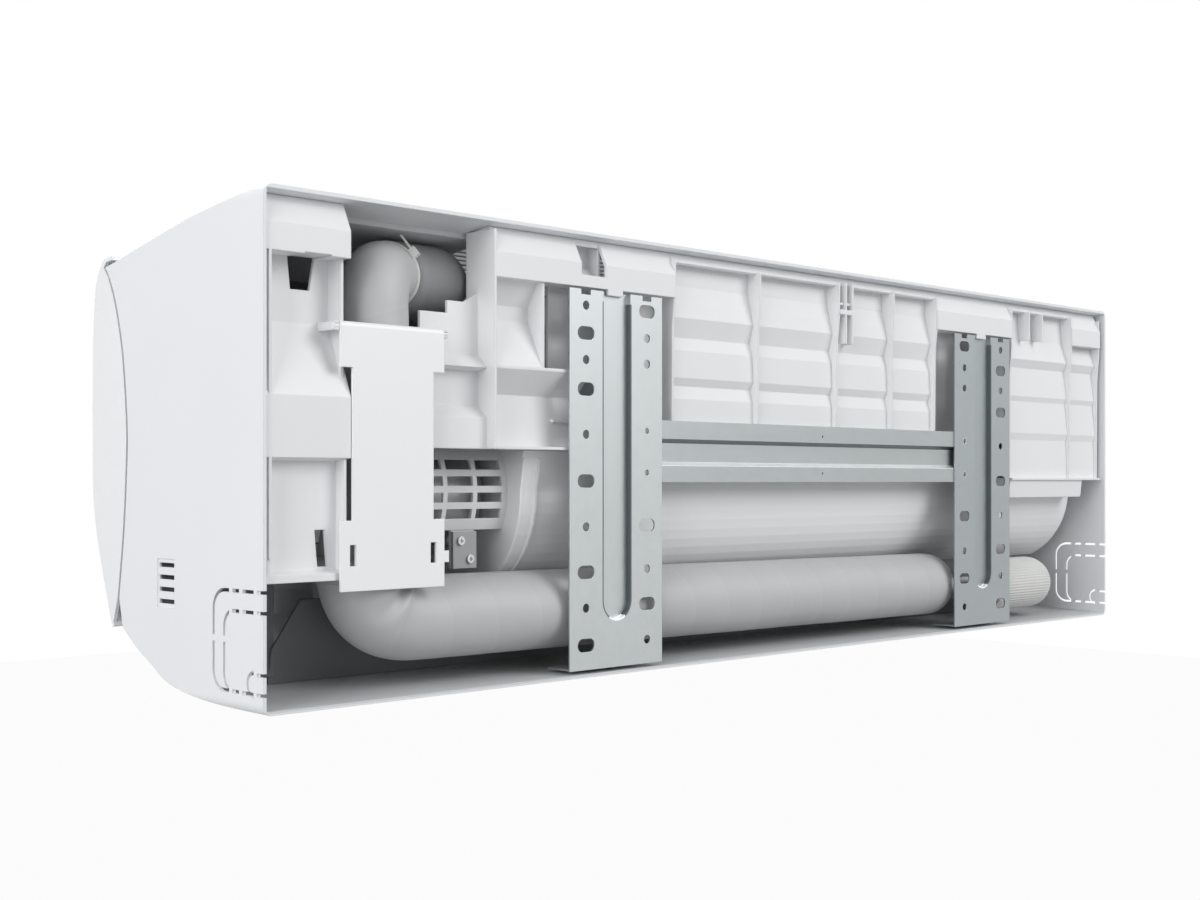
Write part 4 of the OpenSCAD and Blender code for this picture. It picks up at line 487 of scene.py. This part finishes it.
sleeve_points, sleeve_far, sleeve_size = domed(sleeve_points, sleeve_far, sleeve_size,
                                               rings=sleeve_end_rings)
fold = np.abs(np.sin(np.arange(sleeve_sides) / sleeve_sides * pi * sleeve_pleats))
wander = wander_share * np.sin(sleeve_far * wander_per_metre)[:, None]
sleeve_dip = pleat_depth / sleeve_r * (1 - fold[None, :]) * (1 + wander)
sleeve_radius = sleeve_size[:, None] * (1 - sleeve_dip)
pleated_sleeve = swept("pleated_sleeve", sleeve_points, sleeve_far, sleeve_radius, sleeve_sides,
                       level=(0.0, 1.0, 0.0))
sleeve = Finish("sleeve_foam", (0.68, 0.685, 0.67), roughness=0.75)
sleeve_weave = sleeve.noise(scale=1200.0, detail=2.0)
sleeve_shade = sleeve.noise(scale=40.0, detail=3.0)
sleeve.feed(**{
    "Base Color": sleeve.blend((0.63, 0.635, 0.62), (0.71, 0.715, 0.70),
                               0.7 * sleeve_shade + 0.3 * sleeve_weave),
    "Roughness": 0.68 + 0.2 * sleeve_weave,
})
sleeve.relief(sleeve_weave, depth=0.0003, strength=0.5)
pleated_sleeve.data.materials.append(sleeve.material)
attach(pleated_sleeve, "unit")
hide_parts("joint_sleeve")


# Copper pipes and flare nuts
# Drawn copper, dulled by handling and darker by the brazed ends, with turned brass nuts. The two
# short pipes that lead out of the wrap to the joints are coated in pale grey vinyl, and the room
# sensor sits in a copper sleeve.
copper = Finish("copper_pipe", (0.72, 0.38, 0.24), roughness=0.32, metallic=1.0)
copper_film = copper.noise(scale=45.0, detail=4.0)
copper_draw = copper.noise(scale=300.0, detail=1.0, stretch=(1.0, 0.1, 0.1))
copper.feed(**{
    "Base Color": copper.blend((0.42, 0.2, 0.13), (0.80, 0.45, 0.30), 0.35 + 0.6 * copper_film),
    "Roughness": 0.24 + 0.25 * copper_film,
})
copper.relief(copper_draw, depth=0.00004, strength=0.4)
dress(copper, "coil_pipes", "return_bends", "room_sensor")
dress(moulded("joint_vinyl", (0.62, 0.625, 0.63), roughness=0.45), "joint_pipes")
brass_turn_pitch = 0.0006
brass = Finish("turned_brass", (0.78, 0.6, 0.28), roughness=0.28, metallic=1.0)
brass_turned = (brass.along("X") / brass_turn_pitch).share()
brass_dull = brass.noise(scale=70.0, detail=3.0)
brass.feed(**{
    "Base Color": brass.blend((0.55, 0.4, 0.17), (0.82, 0.65, 0.34), 0.3 + 0.6 * brass_dull),
    "Roughness": 0.22 + 0.2 * brass_dull,
})
brass.relief(brass_turned, depth=0.00004, strength=0.4)
dress(brass, "flare_nuts", "fan_bearing")


# Drain hose
# A soft corrugated hose from the spout of the pan back into the wrapped pipes. Its radius dips
# between the ribs by the square of a raised cosine wave.
hose_corners = [(0.382, -0.176, -0.09025), (0.406, -0.176, -0.09625), (0.434, -0.132, -0.11025),
                (0.438, -0.082, -0.12025), (0.4385, -0.062, -0.1211)]
hose_bends = [0.016, 0.02, 0.008]
hose_r, hose_pitch, hose_dip, hose_sides = 0.0085, 0.0042, 0.0013, 36
hose_points, hose_far = rounded_route(hose_corners, hose_bends, step=0.0006)
ripple = 0.5 - 0.5 * np.cos(2 * pi * hose_far / hose_pitch)
hose_radius = (hose_r - hose_dip * ripple ** 2)[:, None] * np.ones((1, hose_sides))
corrugated_hose = swept("corrugated_hose", hose_points, hose_far, hose_radius, hose_sides,
                        level=(0.0, 0.0, 1.0))
hose = moulded("hose_plastic", (0.74, 0.75, 0.755), roughness=0.45, grain=900.0, depth=0.00003,
               drift=0.05, edge=0.0)
corrugated_hose.data.materials.append(hose.material)
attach(corrugated_hose, "unit")
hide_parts("drain_hose")


# Wall plate
# Two upright brackets and a cross bar, pressed from galvanised sheet and riveted together. The
# zinc has set in flat crystals, and rolling has left fine lines along each strip. The groove walls
# and the upper bend of the bar carry painted shade, and the groove feet and lower bend a painted
# highlight.
def galvanised(name, dark, pale, rolled):
    """Zinc on steel: crystals of slightly different shade, crossed by lines along the rolling."""
    finish = Finish(name, pale, roughness=0.4, metallic=0.85)
    crystal = finish.cells(scale=240.0)
    lines = finish.noise(scale=420.0, detail=2.0, stretch=rolled)
    cloud = finish.noise(scale=7.0, detail=2.0)
    finish.shade = finish.blend(dark, pale, 0.2 * crystal + 0.3 * lines + 0.5 * cloud)
    finish.feed(**{"Base Color": finish.shade, "Roughness": 0.38 + 0.08 * crystal + 0.06 * lines})
    finish.relief(0.6 * lines + 0.4 * crystal, depth=0.00003, strength=0.3, edge=0.0005)
    return finish


# Painted shade and a painted highlight on the zinc: dark where shade falls on the groove walls and the
# upper bend of the bar, bright where light falls on the groove foot and the lower bend.
painted_shade_zinc, painted_highlight_zinc = (0.13, 0.15, 0.155), (0.86, 0.88, 0.885)
upright, lengthwise = (1.0, 1.0, 0.06), (0.06, 1.0, 1.0)
sheet, groove_half, groove_foot, groove_run = 0.0014, 0.016, 0.035, 0.22725
groove_radius, mark_inside, mark_outside, foot_half = groove_half - sheet, 0.0004, 0.0012, 0.0085
rim_inner, rim_outer = groove_radius - mark_inside, groove_radius + mark_outside


def grooved(finish, bracket, sides):
    """The wall of a bracket's groove, with painted shade down the given sides and a painted highlight
    at its foot. The foot is a half circle: across squared plus up squared is the radius squared."""
    foot_corner, top_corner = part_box(bracket)
    across = finish.along("X") - (foot_corner[0] + top_corner[0]) / 2
    up = finish.along("Z") - (foot_corner[2] + groove_foot + groove_half)
    foot = (across * across + up * up).within(rim_inner ** 2, rim_outer ** 2) * (up < 0.0)
    shade = finish.shade
    for side in sides:
        out = across * side
        wall = out.within(rim_inner, rim_outer) * up.within(0.0, groove_run)
        shade = finish.blend(shade, painted_shade_zinc, wall + foot * (out > foot_half))
    shade = finish.blend(shade, painted_highlight_zinc, foot * across.within(-foot_half, foot_half))
    finish.feed(**{"Base Color": shade})
    dress(finish, bracket)


grooved(galvanised("right_zinc", (0.43, 0.455, 0.46), (0.50, 0.525, 0.53), upright),
        "right_bracket", sides=(-1, 1))
# The left bracket is the same zinc as the right one, painted darker as shade.
grooved(galvanised("left_zinc", (0.32, 0.35, 0.36), (0.38, 0.41, 0.42), upright),
        "left_bracket", sides=(-1,))
# Painted shadow on the upper bend of the bar, and a painted reflection on its lower bend.
shadow_bend, highlight_bend = (0.03115, 0.03445), (0.01305, 0.01625)
bar = galvanised("bar_zinc", (0.34, 0.365, 0.37), (0.42, 0.445, 0.45), lengthwise)
bar_up = bar.along("Z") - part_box("cross_bar")[0][2]
bar_shade = bar.blend(bar.shade, painted_shade_zinc, bar_up.within(*shadow_bend))
bar.feed(**{"Base Color": bar.blend(bar_shade, painted_highlight_zinc, bar_up.within(*highlight_bend))})
dress(bar, "cross_bar")
dress(galvanised("sheet_zinc", (0.42, 0.44, 0.45), (0.6, 0.62, 0.63), rolled=(1.0, 1.0, 0.1)),
      "tube_sheets")
plated = Finish("plated_steel", (0.6, 0.61, 0.62), roughness=0.3, metallic=1.0)
plated_haze = plated.noise(scale=120.0, detail=3.0)
plated.feed(**{
    "Base Color": plated.blend((0.45, 0.46, 0.47), (0.68, 0.69, 0.69), plated_haze),
    "Roughness": 0.22 + 0.2 * plated_haze,
})
plated.relief(plated_haze, depth=0.00003, strength=0.4, edge=0.0003)
dress(plated, "plate_rivets", "screws", "fan_shaft")


# Pipe retainer
# A thin smooth white plate, moulded in one piece, that lies over the pipe channel. It is hooked at
# its top, where it swings open, and latched at its foot.
dress(moulded("retainer_white", (0.93, 0.935, 0.945), roughness=0.3, grain=2000.0, depth=0.00001,
              drift=0.012, edge=0.0008), "pipe_retainer")


# Motor, cover and clip
# The fan motor is a plated can with drawn walls. A slotted half-round cover and a screwed clip,
# both moulded, hold it to the chassis.
drawn_pitch = 0.0011
motor = Finish("motor_can", (0.58, 0.59, 0.6), roughness=0.35, metallic=0.9)
motor_drawn = (motor.along("X") / drawn_pitch).share()
motor_haze = motor.noise(scale=30.0, detail=3.0)
motor.feed(**{
    "Base Color": motor.blend((0.46, 0.47, 0.48), (0.64, 0.65, 0.66), motor_haze),
    "Roughness": 0.28 + 0.15 * motor_haze + 0.05 * motor_drawn,
})
motor.relief(motor_drawn, depth=0.00004, strength=0.4, edge=0.0005)
dress(motor, "fan_motor", "louvre_motor")
dress(moulded("cover_white", (0.8, 0.805, 0.815), roughness=0.45), "motor_cover")
dress(moulded("clip_grey", (0.42, 0.425, 0.43), roughness=0.5), "motor_clip")


# Fan
# A long wheel of thin curved blades in glass-filled plastic, with a hub screwed to a ground shaft
# and a sintered bearing in a rubber holder at the far end.
fan = moulded("fan_plastic", (0.5, 0.52, 0.54), roughness=0.5, grain=800.0, depth=0.00004, drift=0.12)
fan_dust = fan.noise(scale=60.0, detail=4.0)
fan.feed(**{"Base Color": fan.blend((0.44, 0.46, 0.48), (0.56, 0.58, 0.6), fan_dust)})
dress(fan, "fan_wheel")
dress(moulded("hub_rubber", (0.045, 0.045, 0.05), roughness=0.6, grain=600.0, depth=0.00006,
              drift=0.2), "fan_hub", "bearing_holder")


# Heat exchanger
# Thin aluminium fins stand side by side along the copper tubes. A blue-grey coating keeps the
# water moving down them, and the tubes cross behind in rows.
fin_pitch = 0.0016
fins = Finish("pressed_fins", (0.66, 0.69, 0.71), roughness=0.38, metallic=0.8)
fin_place = (fins.along("X") / fin_pitch).share()
fin_edge = (fin_place - 0.5) * (fin_place - 0.5) * 4.0
fin_bent = fins.noise(scale=60.0, detail=2.0, stretch=(0.5, 1.0, 1.0))
# Each pitch is pale at its edges and near black in its middle: the dark is painted shade in the gap
# between two fins.
fins.feed(**{
    "Base Color": fins.blend((0.10, 0.11, 0.12), (0.72, 0.75, 0.77),
                             0.15 + 0.8 * fin_edge * (0.7 + 0.5 * fin_bent)),
    "Roughness": 0.34 + 0.2 * fin_bent,
})
fins.relief(fin_edge, depth=0.0006, strength=0.7)
dress(fins, "front_coil", "upper_coil", "rear_coil")


# Air filters
# A fine dark net welded into a thin moulded frame. Each filter slides out through the slot behind
# the top of the panel.
net_pitch, thread_share = 0.0019, 0.34
net = Finish("filter_net", (0.28, 0.29, 0.31), roughness=0.6)
warp = ((net.along("X") / net_pitch).share() < thread_share) * 1.0
weft = ((net.along("Z") / net_pitch).share() < thread_share) * 1.0
thread = warp + weft - warp * weft
# Between the threads the net is painted near black, as painted shade for the openings onto the dark
# inside.
net.feed(**{
    "Base Color": net.blend((0.05, 0.052, 0.056), (0.34, 0.35, 0.37), thread),
    "Roughness": 0.5 + 0.2 * thread,
})
net.relief(thread, depth=0.0003, strength=0.6)
dress(net, "filter_left", "filter_right")


# Louvre, vanes and link bars
# The louvre closes the outlet from below. Behind it two banks of thin vanes, each joined by a
# link bar, turn the air to either side.
dress(moulded("louvre_white", (0.82, 0.83, 0.845), roughness=0.3, grain=2000.0, depth=0.00001,
              drift=0.02), "louvre")
vane_names = [name for name in nodes if name.startswith("vane_")]
dress(moulded("vane_grey", (0.74, 0.75, 0.765), roughness=0.45), "link_left", "link_right", *vane_names)


# Control box
# A closed box of flame-retardant plastic at the right-hand end, which holds the board and the
# terminals. Four screws hold its lid.
dress(moulded("box_plastic", (0.72, 0.725, 0.73), roughness=0.5, grain=700.0, depth=0.00004),
      "control_box", "control_lid")


# Boards and terminals
# Green lacquered boards with copper tracks under the lacquer and dark parts standing on them,
# and a cream terminal block with plated screws.
def circuit(name, board, parts):
    """A board: tracks on a square mesh under green lacquer, and whatever stands beyond its face
    in dark or pale moulded blocks."""
    finish = Finish(name, (0.03, 0.2, 0.09), roughness=0.35)
    across = (finish.along("X") / track_pitch[0]).share() < track_share[0]
    upward = (finish.along("Z") / track_pitch[1]).share() < track_share[1]
    chance = finish.cells(scale=160.0)
    track = across * (chance > 0.45) + upward * (chance < 0.4)
    lacquer = finish.blend((0.025, 0.16, 0.07), (0.08, 0.32, 0.13), track)
    block = finish.blend((0.03, 0.03, 0.035), parts, finish.cells(scale=38.0) > 0.55)
    stands = finish.along("Y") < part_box(board)[1][1] - board_thickness
    finish.feed(**{"Base Color": finish.blend(lacquer, block, stands), "Roughness": 0.3 + 0.2 * stands})
    finish.relief(track, depth=0.00005, strength=0.4)
    dress(finish, board)


board_thickness = 0.00175
track_pitch, track_share = (0.004, 0.005), (0.3, 0.25)
circuit("control_green", "control_board", parts=(0.5, 0.48, 0.42))
circuit("display_green", "display_board", parts=(0.8, 0.8, 0.76))
dress(moulded("terminal_cream", (0.78, 0.77, 0.72), roughness=0.45), "terminal_block")


# Manual button
# A small white moulded cap that works a black push switch on the display board. It springs back
# when it is let go.
dress(moulded("button_white", (0.8, 0.81, 0.82), roughness=0.3, grain=1800.0, depth=0.00001), "button")
dress(moulded("switch_black", (0.03, 0.03, 0.033), roughness=0.45), "button_switch")


# Floor and sky
# A plain pale floor well below the hung unit, which holds its soft shadow, and an even sky that
# fills the shade. Both show white to the camera, straight, in a mirror or through glass.
def seen(tree):
    """1 on rays that the camera sees straight, in a mirror or through glass, and 0 on the others."""
    rays = [tree.add("LightPath", {}, {}, f"Is {kind} Ray")
            for kind in ("Camera", "Glossy", "Transmission")]
    indirect = tree.add("Math", {"operation": "MAXIMUM"}, {0: rays[1], 1: rays[2]})
    return tree.add("Math", {"operation": "MAXIMUM"}, {0: rays[0], 1: indirect})


white = (1.0, 1.0, 1.0, 1.0)
floor_half, floor_drop, floor_glow = 14.0, 1.6, 0.96
floor_level = low[2] - floor_drop
floor_mesh = bpy.data.meshes.new("pale_floor")
floor_corners = [(east * floor_half, north * floor_half, floor_level)
                 for east, north in ((-1, -1), (1, -1), (1, 1), (-1, 1))]
floor_mesh.from_pydata(floor_corners, [], [(0, 1, 2, 3)])
floor = bpy.data.objects.new("pale_floor", floor_mesh)
scene.collection.objects.link(floor)
pale = Finish("pale_floor", (0.45, 0.45, 0.45), roughness=0.9)
floor_light = pale.add("Emission", {}, {"Color": white})
floor_mix = pale.add("MixShader", {}, {0: seen(pale) * floor_glow,
                                       1: Term(pale, pale.shader.outputs[0]), 2: floor_light})
pale.join(pale.nodes["Material Output"].inputs["Surface"], floor_mix)
floor_mesh.materials.append(pale.material)

sky_level, sky_tint = 0.40, (0.97, 0.985, 1.0, 1.0)
world = bpy.data.worlds.new("even_sky")
world.use_nodes = True
scene.world = world
sky = Tree(world.node_tree)
sky.nodes.clear()
shade_light = sky.add("Background", {}, {"Color": sky_tint, "Strength": sky_level})
plain_white = sky.add("Background", {}, {"Color": white})
sky_mix = sky.add("MixShader", {}, {0: seen(sky), 1: shade_light, 2: plain_white})
sky.join(sky.nodes.new("ShaderNodeOutputWorld").inputs["Surface"], sky_mix)
